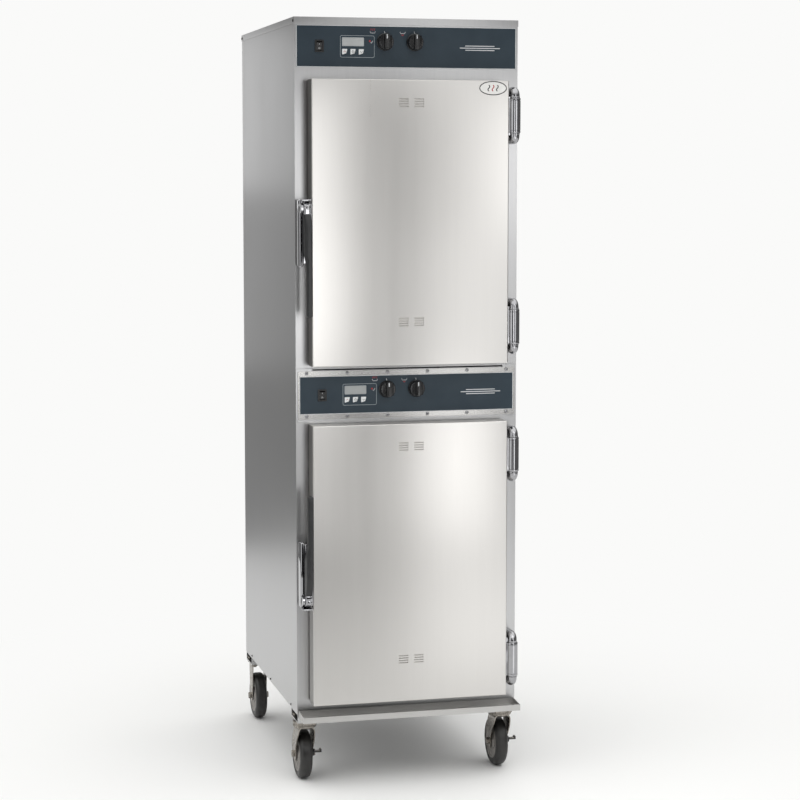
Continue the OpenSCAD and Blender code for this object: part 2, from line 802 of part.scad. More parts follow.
module front_drip_tray() color("silver") placed() {
    x0 = tray_side;
    x1 = body_w - tray_side;
    t = tray_t;
    z0 = tray_z;
    box(x0, x1, -tray_d, -tray_back, z0, z0 + t);
    box(x0, x1, -tray_d, -tray_d + t, z0, z0 + tray_h);
    box(x0, x1, -tray_d, -tray_d + 5, z0 + tray_h - t, z0 + tray_h);
    box(x0, x1, -tray_back - t, -tray_back, z0, z0 + tray_rear_h);
    for (x = [x0, x1 - t])
        translate([x, 0, 0]) rotate([90, 0, 90]) linear_extrude(t)
            polygon([[-tray_d, z0], [-tray_back, z0], [-tray_back, z0 + tray_rear_h], [-tray_d, z0 + tray_h]]);
}

// ---------------------------------------------------------------- casters

module bolt_x(x0, x1, y, z) {
    rod_x(x0, y, z, axle_r, x1 - x0);
    translate([x0 - nut_t, y, z]) rotate([0, 90, 0]) cylinder(r = nut_r, h = nut_t, $fn = 6);
    translate([x1, y, z]) rotate([0, 90, 0]) cylinder(r = nut_r, h = nut_t, $fn = 6);
}

module caster_plate(x, y) {
    difference() {
        union() {
            box(x - plate_w / 2, x + plate_w / 2, y - plate_l / 2, y + plate_l / 2, caster_h - plate_t, caster_h);
            rod_z(x, y, race_z, head_r, race_t);
        }
        for (i = [-1, 1])
            for (j = [-1, 1])
                rod_z(x + i * plate_bolt_x, y + j * plate_bolt_y, caster_h - plate_t - 1, plate_bolt_r + 0.3, plate_t + 2);
    }
    // kingpin and the head that carries the fork
    rod_z(x, y, crown_z - 1, kingpin_r, race_z - crown_z + 2);
    rod_z(x, y, crown_z - run_gap - 5, kingpin_r + 5, 5);
    rod_z(x, y, crown_z - run_gap - 1, kingpin_r, 2);
}

module front_caster_plates() color("silver") placed()
    for (right = [false, true]) caster_plate(caster_x(right), front_caster_y);

module fork_leg(x, y, t, shift, top_z) {
    difference() {
        union() {
            translate([x, y, 0]) rotate([90, 0, 90]) linear_extrude(t) polygon([
                [-26, top_z], [26, top_z], [28, top_z - 18], [shift + 14, axle_z + 4], [shift + 14, axle_z],
                [shift - 14, axle_z], [shift - 14, axle_z + 8], [-24, top_z - 24]
            ]);
            rod_x(x, y + shift, axle_z, 14, t);
        }
        rod_x(x - 1, y + shift, axle_z, axle_r + 0.2, t + 2);
    }
}

module swivel_fork(right) {
    x = caster_x(right);
    y = front_caster_y;
    difference() {
        rod_z(x, y, crown_z, head_r, crown_t);
        rod_z(x, y, crown_z - 1, kingpin_r + pin_gap, crown_t + 2);
    }
    for (s = [-1, 1])
        fork_leg(x + s * leg_w - (s < 0 ? leg_t : 0), y, leg_t, trail, crown_z + 4);
}

module rigid_fork(right) {
    x = caster_x(right);
    y = rear_caster_y;
    difference() {
        box(x - plate_w / 2, x + plate_w / 2, y - plate_l / 2, y + plate_l / 2, caster_h - leg_t, caster_h);
        for (i = [-1, 1])
            for (j = [-1, 1])
                rod_z(x + i * plate_bolt_x, y + j * plate_bolt_y, caster_h - leg_t - 1, plate_bolt_r + 0.3, leg_t + 2);
    }
    for (s = [-1, 1])
        fork_leg(x + s * leg_w - (s < 0 ? leg_t : 0), y, leg_t, 0, caster_h - leg_t + 1);
}

module rear_forks() color("silver") placed()
    for (right = [false, true]) rigid_fork(right);

module caster_bolts() color("gray") placed() {
    for (right = [false, true]) {
        x = caster_x(right);
        bolt_x(x - leg_w - leg_t, x + leg_w + leg_t, rear_caster_y, axle_z);
    }
    caster_plate_holes(caster_h - plate_t, plate_t + bolster_t + 5, plate_bolt_r);
    for (x = [caster_x(false), caster_x(true)])
        for (y = [front_caster_y, rear_caster_y])
            for (i = [-1, 1])
                for (j = [-1, 1]) {
                    translate([x + i * plate_bolt_x, y + j * plate_bolt_y, caster_h - plate_t - 4])
                        cylinder(r = 6.5, h = 4, $fn = 6);
                    translate([x + i * plate_bolt_x, y + j * plate_bolt_y, caster_h + bolster_t])
                        cylinder(r = 6.5, h = 5, $fn = 6);
                }
}

module front_axle(right) {
    x = caster_x(right);
    bolt_x(x - leg_w - leg_t, x + leg_w + leg_t + brake_w + 2 * run_gap, front_caster_y + trail, axle_z);
}

// Brake lever beside the wheel, turning on the wheel bolt
module brake(right) {
    x = caster_x(right) + leg_w + leg_t + run_gap;
    y = front_caster_y + trail;
    difference() {
        union() {
            rod_x(x, y, axle_z, 12, brake_w);
            translate([x, y, axle_z]) rotate([90, 0, 90]) linear_extrude(brake_w)
                polygon([[-4, -11.5], [6, 11], [-26, 16], [-34, 12], [-34, 4]]);
            box(x, x + pedal_l, y - 34, y - 20, axle_z + 8, axle_z + 11);
            box(x + pedal_l - 4, x + pedal_l, y - 34, y - 20, axle_z + 8, axle_z + 15);
        }
        rod_x(x - 1, y, axle_z, axle_r + pin_gap, brake_w + 2);
    }
}

// Bonded wheel: a hub and the tread moulded round it
module wheel(x, y) {
    h = wheel_w / 2;
    translate([x, y, axle_z]) rotate([0, 90, 0]) {
        difference() {
            union() {
                translate([0, 0, -h + 4]) cylinder(r = hub_r, h = wheel_w - 8);
                translate([0, 0, -h]) cylinder(r = 15, h = wheel_w);
            }
            translate([0, 0, -h - 1]) cylinder(r = axle_r + pin_gap, h = wheel_w + 2);
            for (s = [-1, 1])
                translate([0, 0, s > 0 ? h - 9 : -h - 1]) difference() {
                    cylinder(r = hub_r - 7, h = 10);
                    translate([0, 0, -1]) cylinder(r = 19, h = 12);
                }
        }
        rotate_extrude($fn = 96) {
            translate([hub_r, -h + 2]) square([6, wheel_w - 4]);
            translate([hub_r + 5, -h]) square([wheel_d / 2 - hub_r - 5 - 10, wheel_w]);
            translate([wheel_d / 2 - 11, -h + 10]) square([11, wheel_w - 20]);
            for (s = [-1, 1]) translate([wheel_d / 2 - 10, s * (h - 10)]) circle(r = 10);
        }
    }
}

// ---------------------------------------------------------------- small parts

module casing_screws() color("black") placed() {
    for (right = [false, true]) {
        x = right ? body_w + casing_t : -casing_t;
        for (y = [9, body_d - 7])
            screw_side(x, y, body_h - skirt_h / 2 - 1, 4, right);
        for (y = [0.11, 0.49, 0.87])
            screw_side(right ? body_w : 0, y * body_d, base_h + 7, 3, right);
    }
    for (i = [0:fascia_screws - 1])
        for (z = [fascia_z + 7.5, fascia_z + fascia_h - 5.5])
            screw_front(27 + i * fascia_screw_pitch, -fascia_t, z, screw_r);
    // back panel
    for (x = [12, body_w - 12])
        for (i = [0:5])
            translate([x, body_d, base_h + 40 + i * (body_h - base_h - 80) / 5]) rotate([-90, 0, 0]) cylinder(r = 4, h = 2);
}

// Gland in the back panel for the supply cord: a flanged sleeve with its lock nut inside
module cord_gland() color("black") placed() difference() {
    union() {
        rod_y(gland_x, body_d - casing_t - 8, gland_z, gland_r - 0.2, casing_t + 20);
        rod_y(gland_x, body_d, gland_z, gland_r + 5, 4);
        translate([gland_x, body_d - casing_t - 5, gland_z]) rotate([-90, 0, 0]) cylinder(r = gland_r + 5, h = 5, $fn = 6);
    }
    rod_y(gland_x, body_d - casing_t - 9, gland_z, cord_bore_r, casing_t + 30);
}

// ---------------------------------------------------------------- the assembly

base_frame();
left_side_panel();
right_side_panel();
back_panel();
top_cover();
front_frame();
upper_liner();
lower_liner();
insulation();
heating_cables();
side_racks();
upper_shelves();
lower_shelves();
drip_pans();
control_overlays();
lower_fascia();
control_displays();
switch_housings();
thermostats();
hinge_brackets();
latch_strikes();
front_caster_plates();
rear_forks();
casing_screws();
caster_bolts();
cord_gland();
color("whitesmoke") placed() door_skin(upper_door_z);  // upper_door_skin
color("silver") placed() door_inner(upper_door_z);  // upper_door_inner
color("khaki") placed() door_core(upper_door_z);  // upper_door_core
color("black") placed() door_gasket(upper_door_z);  // upper_door_gasket
color("lightgray") placed() knuckles(upper_door_z);  // upper_door_knuckles
color("lightgray") placed() latch_place(true) latch_housing();  // upper_latch_housing
color("lightgray") placed() latch_place(true) latch_lever();  // upper_latch_lever
color("black") placed() latch_place(true) latch_grip();  // upper_latch_grip
door_badge();
color("whitesmoke") placed() door_skin(lower_door_z);  // lower_door_skin
color("silver") placed() door_inner(lower_door_z);  // lower_door_inner
color("khaki") placed() door_core(lower_door_z);  // lower_door_core
color("black") placed() door_gasket(lower_door_z);  // lower_door_gasket
color("lightgray") placed() knuckles(lower_door_z);  // lower_door_knuckles
color("lightgray") placed() latch_place(false) latch_housing();  // lower_latch_housing
color("lightgray") placed() latch_place(false) latch_lever();  // lower_latch_lever
color("black") placed() latch_place(false) latch_grip();  // lower_latch_grip
front_drip_tray();
color("black") upper_knob(0);  // upper_cook_knob
color("black") upper_knob(1);  // upper_hold_knob
color("black") lower_knob(0);  // lower_cook_knob
color("black") lower_knob(1);  // lower_hold_knob
upper_rocker();
lower_rocker();
color("silver") placed() swivel_fork(false);  // front_left_fork
color("silver") placed() swivel_fork(true);  // front_right_fork
color("gray") placed() front_axle(false);  // front_left_axle
color("gray") placed() front_axle(true);  // front_right_axle
color("dimgray") placed() brake(false);  // front_left_brake
color("dimgray") placed() brake(true);  // front_right_brake
color("dimgray") placed() wheel(caster_x(false), front_caster_y + trail);  // front_left_wheel
color("dimgray") placed() wheel(caster_x(true), front_caster_y + trail);  // front_right_wheel
color("dimgray") placed() wheel(caster_x(false), rear_caster_y);  // rear_left_wheel
color("dimgray") placed() wheel(caster_x(true), rear_caster_y);  // rear_right_wheel
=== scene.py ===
"""Looks of a two-compartment proofing cabinet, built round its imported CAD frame.

Every size is in metres in the frame's own axes: +Z up, the doors towards -Y, the hinges on +X.
"""

from __future__ import annotations

import json
import logging
import math
from dataclasses import dataclass
from enum import Enum
from typing import Callable, Iterable, Sequence

import bmesh
import bpy
import numpy as np
from mathutils import Matrix, Vector

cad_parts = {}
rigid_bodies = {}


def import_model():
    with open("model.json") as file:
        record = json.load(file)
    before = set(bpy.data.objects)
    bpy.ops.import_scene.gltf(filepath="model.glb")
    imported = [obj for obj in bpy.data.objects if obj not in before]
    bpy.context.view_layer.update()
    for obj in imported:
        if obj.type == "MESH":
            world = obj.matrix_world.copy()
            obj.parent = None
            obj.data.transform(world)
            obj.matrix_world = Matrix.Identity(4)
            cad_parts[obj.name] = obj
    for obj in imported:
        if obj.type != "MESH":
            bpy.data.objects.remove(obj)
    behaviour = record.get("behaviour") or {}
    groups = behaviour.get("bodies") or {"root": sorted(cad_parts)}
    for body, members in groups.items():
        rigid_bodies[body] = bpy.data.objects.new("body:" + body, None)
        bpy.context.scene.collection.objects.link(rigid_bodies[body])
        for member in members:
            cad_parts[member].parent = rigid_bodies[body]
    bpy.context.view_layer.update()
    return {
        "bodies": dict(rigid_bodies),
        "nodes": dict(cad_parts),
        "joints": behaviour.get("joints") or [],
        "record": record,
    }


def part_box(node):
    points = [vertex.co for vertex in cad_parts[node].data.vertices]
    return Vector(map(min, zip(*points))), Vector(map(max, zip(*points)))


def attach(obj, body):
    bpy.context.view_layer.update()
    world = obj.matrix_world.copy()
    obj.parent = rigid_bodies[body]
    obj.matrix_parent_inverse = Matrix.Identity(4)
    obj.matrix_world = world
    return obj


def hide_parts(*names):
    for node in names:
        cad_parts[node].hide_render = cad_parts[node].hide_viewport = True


LOG = logging.getLogger("proofing_cabinet")
MM = 0.001
ROUND_STEPS = 48
SAME_PLACE = 1e-6  # points nearer than this are one point
SHARP_DEGREES = 32.0


# ---------------------------------------------------------------- surfaces


@dataclass
class Surface:
    """A closed shape: its points, one row each, and the point numbers of its faces."""

    points: np.ndarray
    faces: list[tuple[int, ...]]

    def moved(self, x: float = 0.0, y: float = 0.0, z: float = 0.0) -> Surface:
        """The same shape, shifted."""
        return Surface(self.points + np.array([x, y, z]), self.faces)

    def mapped(self, change: Callable[[np.ndarray], np.ndarray]) -> Surface:
        """The same faces with every point put through a function of the point array."""
        return Surface(change(self.points), self.faces)

    def turned(self, angle: float, axis: str) -> Surface:
        """The same shape turned about a frame axis through the origin.

        Args:
            angle: the turn in degrees, by the right-hand rule.
            axis: "X", "Y" or "Z".

        Returns:
            The turned shape.
        """
        matrix = np.array(Matrix.Rotation(math.radians(angle), 3, axis))
        return Surface(self.points @ matrix.T, self.faces)


def joined(shapes: Iterable[Surface]) -> Surface:
    """Puts shapes side by side in one surface, with their face numbers moved along.

    Args:
        shapes: the shapes, in order.

    Returns:
        One surface that holds them all.
    """
    points: list[np.ndarray] = []
    faces: list[tuple[int, ...]] = []
    start = 0
    for shape in shapes:
        points.append(shape.points)
        faces.extend(tuple(i + start for i in face) for face in shape.faces)
        start += len(shape.points)
    return Surface(np.concatenate(points), faces)


def grid_faces(rows: int, columns: int, closed_rows: bool = False) -> list[tuple[int, ...]]:
    """Quads of a grid whose columns close on themselves, and whose rows may.

    Args:
        rows: number of rings.
        columns: points in each ring.
        closed_rows: joins the last ring to the first.

    Returns:
        Four point numbers for each quad.
    """
    r = np.arange(rows if closed_rows else rows - 1)[:, None]
    c = np.arange(columns)[None, :]
    up, over = (r + 1) % rows, (c + 1) % columns
    corners = (r * columns + c, r * columns + over, up * columns + over, up * columns + c)
    quads = np.stack([np.broadcast_to(k, (len(r), columns)) for k in corners], -1)
    return [tuple(q) for q in quads.reshape(-1, 4).tolist()]


def capped_grid(rows: int, columns: int) -> list[tuple[int, ...]]:
    """Quads of a tube of rings, with one face over its first ring and one over its last.

    Args:
        rows: number of rings.
        columns: points in each ring.

    Returns:
        The point numbers of each face.
    """
    last = (rows - 1) * columns
    return [*grid_faces(rows, columns), tuple(range(columns)), tuple(range(last, last + columns))]


def round_angles(steps: int) -> np.ndarray:
    """Evenly spaced angles round a circle, from 0 up to but not including a full turn."""
    return np.arange(steps) * 2 * math.pi / steps


def round_points(radius: np.ndarray, angle: np.ndarray, height: np.ndarray) -> np.ndarray:
    """Points (r cos a, r sin a, h) ring by ring.

    Args:
        radius: one row for each ring; a second axis may change it round the ring.
        angle: the angles round a ring.
        height: one row for each ring, like the radius.

    Returns:
        One row of three coordinates for each point.
    """
    rings = [radius * np.cos(angle), radius * np.sin(angle), height + 0 * angle]
    return np.stack(rings, -1).reshape(-1, 3)


def pairs(first: np.ndarray, second: np.ndarray) -> list[tuple[float, float]]:
    """Two equally long rows of numbers as a list of points."""
    return list(zip(first.tolist(), second.tolist()))


def mirrored(side: Sequence[tuple[float, float]]) -> list[tuple[float, float]]:
    """A profile's side seen in the plane z = 0, run through backwards so that it carries on."""
    return [(radius, -height) for radius, height in reversed(side)]


def lathe(profile: Sequence[tuple[float, float]], steps: int = ROUND_STEPS) -> Surface:
    """Turns a profile about the Z axis.

    A point is (r cos a, r sin a, h): (r, h) runs along the profile and a round the circle.
    A profile that ends on the axis closes there; one that starts and ends alike closes on itself.

    Args:
        profile: radius and height of each point.
        steps: points round the circle.

    Returns:
        The turned shape.
    """
    outline = np.array(profile, float)
    ring = bool(np.allclose(outline[0], outline[-1]))
    if ring:
        outline = outline[:-1]
    points = round_points(outline[:, :1], round_angles(steps), outline[:, 1:])
    return Surface(points, grid_faces(len(outline), steps, ring))


def rounded_box(
    low: Sequence[float], high: Sequence[float], radius: float, steps: int = 4
) -> Surface:
    """A box whose edges and corners are parts of cylinders and a sphere.

    A point is the sign of n times (half size - radius), plus radius times n, where n runs over
    a sphere that is cut in eight so that its quarters draw apart to the corners.

    Args:
        low: lowest corner.
        high: highest corner.
        radius: radius of the edges.
        steps: segments in each quarter turn.

    Returns:
        The box.
    """
    lo, hi = np.array(low, float), np.array(high, float)
    half = (hi - lo) / 2
    radius = min(radius, float(half.min()) * 0.98)
    quarter = np.linspace(0, math.pi / 2, steps + 1)
    around = np.concatenate([quarter + k * math.pi / 2 for k in range(4)])
    sign_x = np.repeat([1, -1, -1, 1], steps + 1)
    sign_y = np.repeat([1, 1, -1, -1], steps + 1)
    up = np.concatenate([quarter - math.pi / 2, quarter])
    sign_z = np.repeat([-1, 1], steps + 1)
    ring = np.cos(up)[:, None]
    inner = half - radius
    x = sign_x * inner[0] + radius * ring * np.cos(around)
    y = sign_y * inner[1] + radius * ring * np.sin(around)
    z = (sign_z * inner[2] + radius * np.sin(up))[:, None] + 0 * x
    points = np.stack([x, y, z], -1).reshape(-1, 3) + (lo + hi) / 2
    return Surface(points, capped_grid(len(up), len(around)))


def rounded_loop(width: float, height: float, radius: float, steps: int = 6) -> np.ndarray:
    """Points round a rectangle with arcs for corners, centred on the origin, anticlockwise.

    Args:
        width: size along the first axis.
        height: size along the second axis.
        radius: radius of the corners.
        steps: segments in each corner.

    Returns:
        One row of two coordinates for each point.
    """
    quarter = np.linspace(0, math.pi / 2, steps + 1)
    a = np.concatenate([quarter + k * math.pi / 2 for k in range(4)])
    sx = np.repeat([1, -1, -1, 1], steps + 1) * (width / 2 - radius)
    sy = np.repeat([1, 1, -1, -1], steps + 1) * (height / 2 - radius)
    return np.stack([sx + radius * np.cos(a), sy + radius * np.sin(a)], 1)


def squircle(half_width: float, half_height: float, power: float, steps: int = 24) -> np.ndarray:
    """Points of |x/a|^p + |y/b|^p = 1, from an ellipse at p = 2 towards a rectangle as p grows.

    Args:
        half_width: a, half the size along the first axis.
        half_height: b, half the size along the second axis.
        power: p.
        steps: number of points.

    Returns:
        One row of two coordinates for each point.
    """
    a = round_angles(steps)
    c, s = np.cos(a), np.sin(a)
    x = half_width * np.sign(c) * np.abs(c) ** (2 / power)
    y = half_height * np.sign(s) * np.abs(s) ** (2 / power)
    return np.stack([x, y], 1)


def swept(
    path: np.ndarray, section: np.ndarray, flat: Sequence[float], closed: bool = False
) -> Surface:
    """Carries a section along a path.

    At each path point the section's first axis lies along the path's normal in the plane
    across `flat`, and its second axis lies along `flat`.

    Args:
        path: one row of three coordinates for each point.
        section: one row of two coordinates for each point of the closed section.
        flat: direction that stays level with the section, across the whole path.
        closed: joins the path's end to its start.

    Returns:
        The swept shape, with flat ends when the path is open.
    """
    flat_axis = np.array(flat, float)
    if closed:
        along = np.roll(path, -1, 0) - np.roll(path, 1, 0)
    else:
        along = np.gradient(path, axis=0)
    along /= np.linalg.norm(along, axis=1, keepdims=True)
    side = np.cross(along, flat_axis)
    side /= np.linalg.norm(side, axis=1, keepdims=True)
    up = np.cross(side, along)
    points = (
        path[:, None, :]
        + section[None, :, :1] * side[:, None, :]
        + section[None, :, 1:] * up[:, None, :]
    )
    rows, columns = len(path), len(section)
    faces = grid_faces(rows, columns, True) if closed else capped_grid(rows, columns)
    return Surface(points.reshape(-1, 3), faces)


def raised_line(
    points: Sequence[tuple[float, float]] | np.ndarray,
    width: float,
    depth: float,
    closed: bool = False,
) -> Surface:
    """A thin raised line through points in the XZ plane, half of it standing out towards -Y.

    Args:
        points: the line's points, across and up.
        width: width of the line.
        depth: thickness of the line.
        closed: joins the last point to the first.

    Returns:
        The line, with a small rounding along its edges.
    """
    flat = np.array(points, float)
    path = np.stack([flat[:, 0], 0 * flat[:, 0], flat[:, 1]], 1)
    return swept(path, rounded_loop(width, depth, depth * 0.3, 2), (0, 1, 0), closed)


def plate(loop: np.ndarray, depth: float) -> Surface:
    """A flat plate in the XZ plane, its back at y = 0 and its face at -depth.

    Its rim shrinks by a third of the depth on the way to the face, which rounds the edge.

    Args:
        loop: the outline, one row of two coordinates for each point.
        depth: thickness of the plate.

    Returns:
        The plate.
    """
    centre = loop.mean(0)
    rings = []
    for y, inset in ((0.0, 0.0), (-depth * 0.65, 0.0), (-depth, depth * 0.35)):
        reach = np.linalg.norm(loop - centre, axis=1, keepdims=True)
        flat = centre + (loop - centre) * (1 - inset / np.maximum(reach, 1e-9))
        rings.append(np.stack([flat[:, 0], np.full(len(flat), y), flat[:, 1]], 1))
    return Surface(np.concatenate(rings), capped_grid(len(rings), len(loop)))


# ---------------------------------------------------------------- finishes


class Grain(Enum):
    """The way a brushed sheet's scratches run."""

    ALONG_X = (1, 0, 0)
    ALONG_Y = (0, 1, 0)
    ALONG_Z = (0, 0, 1)


def hex_linear(code: str) -> tuple[float, float, float, float]:
    """Turns an sRGB hex colour into the linear colour that a shader takes.

    Args:
        code: the colour as "#RRGGBB".

    Returns:
        Red, green, blue and an opacity of 1.
    """
    parts = [int(code[i : i + 2], 16) / 255 for i in (1, 3, 5)]
    linear = [c / 12.92 if c <= 0.04045 else ((c + 0.055) / 1.055) ** 2.4 for c in parts]
    return (linear[0], linear[1], linear[2], 1.0)


def add_node(
    tree: bpy.types.NodeTree,
    kind: str,
    sockets: dict[str | int, object] | None = None,
    **settings: object,
) -> bpy.types.Node:
    """Adds a node with its settings and links.

    Args:
        tree: the node tree.
        kind: the node's type name.
        sockets: for each input, by name or number, a value or the output socket that feeds it.
        **settings: properties of the node itself.

    Returns:
        The new node.
    """
    node = tree.nodes.new(kind)
    for name, value in settings.items():
        setattr(node, name, value)
    for key, value in (sockets or {}).items():
        if isinstance(value, bpy.types.NodeSocket):
            tree.links.new(value, node.inputs[key])
        else:
            node.inputs[key].default_value = value
    return node


@dataclass(frozen=True)
class Shading:
    """A material's node tree, shader and coordinates, with the ways that patterns drive them."""

    tree: bpy.types.NodeTree
    shader: bpy.types.Node
    place: bpy.types.Node

    def noise(self, scale: float, detail: float) -> bpy.types.NodeSocket:
        """Cloud noise on Object coordinates.

        Args:
            scale: one over the size of the clouds in metres.
            detail: number of finer layers of noise.

        Returns:
            The noise, which seldom leaves 0.3 to 0.7.
        """
        sockets = {"Vector": self.place.outputs["Object"], "Scale": scale, "Detail": detail}
        sockets["Roughness"] = 0.55
        return add_node(self.tree, "ShaderNodeTexNoise", sockets).outputs["Fac"]

    def vary(self, factor: bpy.types.NodeSocket, low: float, high: float) -> None:
        """Drives the shader's roughness with a noise.

        Args:
            factor: the noise.
            low: roughness where the noise is low.
            high: roughness where the noise is high.
        """
        reach = {"From Min": 0.3, "From Max": 0.7, "To Min": max(low, 0.02), "To Max": high}
        spread = add_node(self.tree, "ShaderNodeMapRange", {"Value": factor, **reach})
        self.tree.links.new(spread.outputs["Result"], self.shader.inputs["Roughness"])

    def tint(
        self,
        factor: bpy.types.NodeSocket,
        own: str,
        other: str,
        low: float = 0.35,
        high: float = 0.65,
    ) -> None:
        """Runs the shader's colour from one to another with a noise.

        Args:
            factor: the noise.
            own: the finish's own colour, in hex.
            other: the other colour, in hex.
            low: the noise's value up to which the own colour is whole.
            high: the noise's value from which the other colour is whole.
        """
        ramp = add_node(self.tree, "ShaderNodeValToRGB", {"Fac": factor})
        first, last = ramp.color_ramp.elements
        first.position, last.position = low, high
        first.color, last.color = hex_linear(own), hex_linear(other)
        self.tree.links.new(ramp.outputs["Color"], self.shader.inputs["Base Color"])

    def relief(self, height: bpy.types.NodeSocket, depth: float, strength: float) -> None:
        """Bends the surface's light as if it had a relief.

        Args:
            height: the relief, from 0 to 1.
            depth: height in metres where the relief is 1.
            strength: share of the bend that shows.
        """
        sockets = {"Height": height, "Distance": depth, "Strength": strength}
        bump = add_node(self.tree, "ShaderNodeBump", sockets)
        self.tree.links.new(bump.outputs["Normal"], self.shader.inputs["Normal"])


@dataclass(frozen=True)
class Finish:
    """What a surface is made of, with the numbers that are the same all over it."""

    name: str
    colour: str
    roughness: float
    metallic: float = 0.0
    ior: float = 0.0
    coat: float = 0.0

    def material(self) -> bpy.types.Material:
        """Finds the Blender material, or makes it on first use.

        Returns:
            The material, with its even values and its pattern.
        """
        found = bpy.data.materials.get(self.name)
        if found:
            return found
        material = bpy.data.materials.new(self.name)
        material.use_nodes = True
        tree = material.node_tree
        shader = tree.nodes["Principled BSDF"]
        shader.inputs["Base Color"].default_value = hex_linear(self.colour)
        shader.inputs["Roughness"].default_value = self.roughness
        shader.inputs["Metallic"].default_value = self.metallic
        shader.inputs["Coat Weight"].default_value = self.coat
        if self.ior:
            shader.inputs["IOR"].default_value = self.ior
        material.diffuse_color = hex_linear(self.colour)
        self.pattern(Shading(tree, shader, add_node(tree, "ShaderNodeTexCoord")))
        return material

    def pattern(self, look: Shading) -> None:
        """Adds what varies over the surface; a plain finish has a faint mottle in its gloss.

        Args:
            look: the material's shading.
        """
        cloud = look.noise(1 / 0.03, 3.0)
        look.vary(cloud, self.roughness - 0.04, self.roughness + 0.05)


@dataclass(frozen=True)
class BrushedSteel(Finish):
    """Stainless sheet, belt-brushed one way: fine scratches spread reflections across the grain."""

    grain: Grain = Grain.ALONG_Z
    metallic: float = 1.0
    scratch: float = 1.1 * MM  # real scratches are about 0.1 mm; drawn coarser so that they show
    streak: float = 9 * MM
    handled: str = "#B9B8B5"
    depth: float = 0.003 * MM
    swing: float = 0.03
    scratch_long: float = 60 * MM
    streak_long: float = 700 * MM
    cloud: float = 350 * MM
    cloud_share: float = 1.2

    def pattern(self, look: Shading) -> None:
        """Scratches and wider streaks along the grain, and soft clouds where hands have been.

        The colour and gloss follow the mean of the three, (scratch + streak + s cloud) / (2 + s).

        Args:
            look: the material's shading.
        """
        bands = []
        for across, along in ((self.scratch, self.scratch_long), (self.streak, self.streak_long)):
            scale = tuple(1 / along if g else 1 / across for g in self.grain.value)
            sockets = {"Vector": look.place.outputs["Object"], "Scale": scale}
            stretched = add_node(look.tree, "ShaderNodeMapping", sockets).outputs["Vector"]
            sockets = {"Vector": stretched, "Scale": 1.0, "Detail": 3.0}
            bands.append(add_node(look.tree, "ShaderNodeTexNoise", sockets).outputs["Fac"])
        value = look.noise(1 / self.cloud, 4.0)
        share = self.cloud_share
        streaks = add_node(look.tree, "ShaderNodeMath", {0: bands[0], 1: bands[1]}, operation="ADD")
        for sockets, operation in (
            ({1: share, 2: streaks.outputs["Value"]}, "MULTIPLY_ADD"),
            ({1: 1 / (2 + share)}, "MULTIPLY"),
        ):
            step = add_node(look.tree, "ShaderNodeMath", {0: value, **sockets}, operation=operation)
            value = step.outputs["Value"]
        look.vary(value, self.roughness - self.swing, self.roughness + self.swing)
        look.tint(value, self.colour, self.handled, 0.4, 0.62)
        look.relief(bands[0], self.depth, 0.35)


@dataclass(frozen=True)
class PlatedMetal(Finish):
    """Plated metal: a bright skin with faint waves, and a second tone where it is thinner."""

    metallic: float = 1.0
    thin: str = "#A9ABAE"
    wave: float = 14 * MM
    depth: float = 0.02 * MM
    duller: float = 1.5
    glossier: float = 0.7

    def pattern(self, look: Shading) -> None:
        """Clouds of the thinner tone and of gloss, and long low waves in the relief.

        Args:
            look: the material's shading.
        """
        cloud = look.noise(1 / self.wave, 5.0)
        look.tint(cloud, self.colour, self.thin)
        low, high = self.roughness * self.glossier, self.roughness * self.duller
        look.vary(cloud, low, high)
        look.relief(look.noise(0.6 / self.wave, 1.0), self.depth, 0.3)


@dataclass(frozen=True)
class MouldedPlastic(Finish):
    """Injection-moulded plastic: a spark-eroded grain, and a little shine where it is touched."""

    grain: float = 0.7 * MM
    depth: float = 0.03 * MM
    worn: str = "#1C1C1D"
    touch: float = 25 * MM
    swing: float = 0.08
    ior: float = 1.5

    def pattern(self, look: Shading) -> None:
        """Cell grain for the relief, and clouds for touch marks.

        Args:
            look: the material's shading.
        """
        sockets = {"Vector": look.place.outputs["Object"], "Scale": 1 / self.grain}
        cells = add_node(look.tree, "ShaderNodeTexVoronoi", sockets)
        cloud = look.noise(1 / self.touch, 4.0)
        look.tint(cloud, self.colour, self.worn)
        look.vary(cloud, self.roughness - self.swing, self.roughness + self.swing)
        look.relief(cells.outputs["Distance"], self.depth, 0.4)


@dataclass(frozen=True)
class PrintedFilm(Finish):
    """Polycarbonate film printed on its back: an even colour under a fine velvet texture."""

    texture: float = 0.4 * MM
    deep: str = "#313D47"
    drift: float = 60 * MM
    depth: float = 0.01 * MM
    ior: float = 1.58

    def pattern(self, look: Shading) -> None:
        """Velvet texture for the relief, and a slow drift in the ink and the gloss.

        Args:
            look: the material's shading.
        """
        velvet = look.noise(1 / self.texture, 2.0)
        drift = look.noise(1 / self.drift, 3.0)
        look.tint(drift, self.colour, self.deep)
        look.vary(drift, self.roughness - 0.05, self.roughness + 0.06)
        look.relief(velvet, self.depth, 0.35)


@dataclass(frozen=True)
class MouldedRubber(Finish):
    """Moulded rubber: matt and slightly open, with pale dust in the low places."""

    dust: str = "#4B4A47"
    pore: float = 1.4 * MM
    patch: float = 20 * MM
    depth: float = 0.06 * MM
    swing: float = 0.1
    ior: float = 1.52

    def pattern(self, look: Shading) -> None:
        """Pores for the relief and clouds of dust for the colour.

        Args:
            look: the material's shading.
        """
        pores = look.noise(1 / self.pore, 4.0)
        dust = look.noise(1 / self.patch, 5.0)
        look.tint(dust, self.colour, self.dust, 0.45, 0.75)
        look.vary(dust, self.roughness - self.swing, self.roughness + self.swing)
        look.relief(pores, self.depth, 0.5)


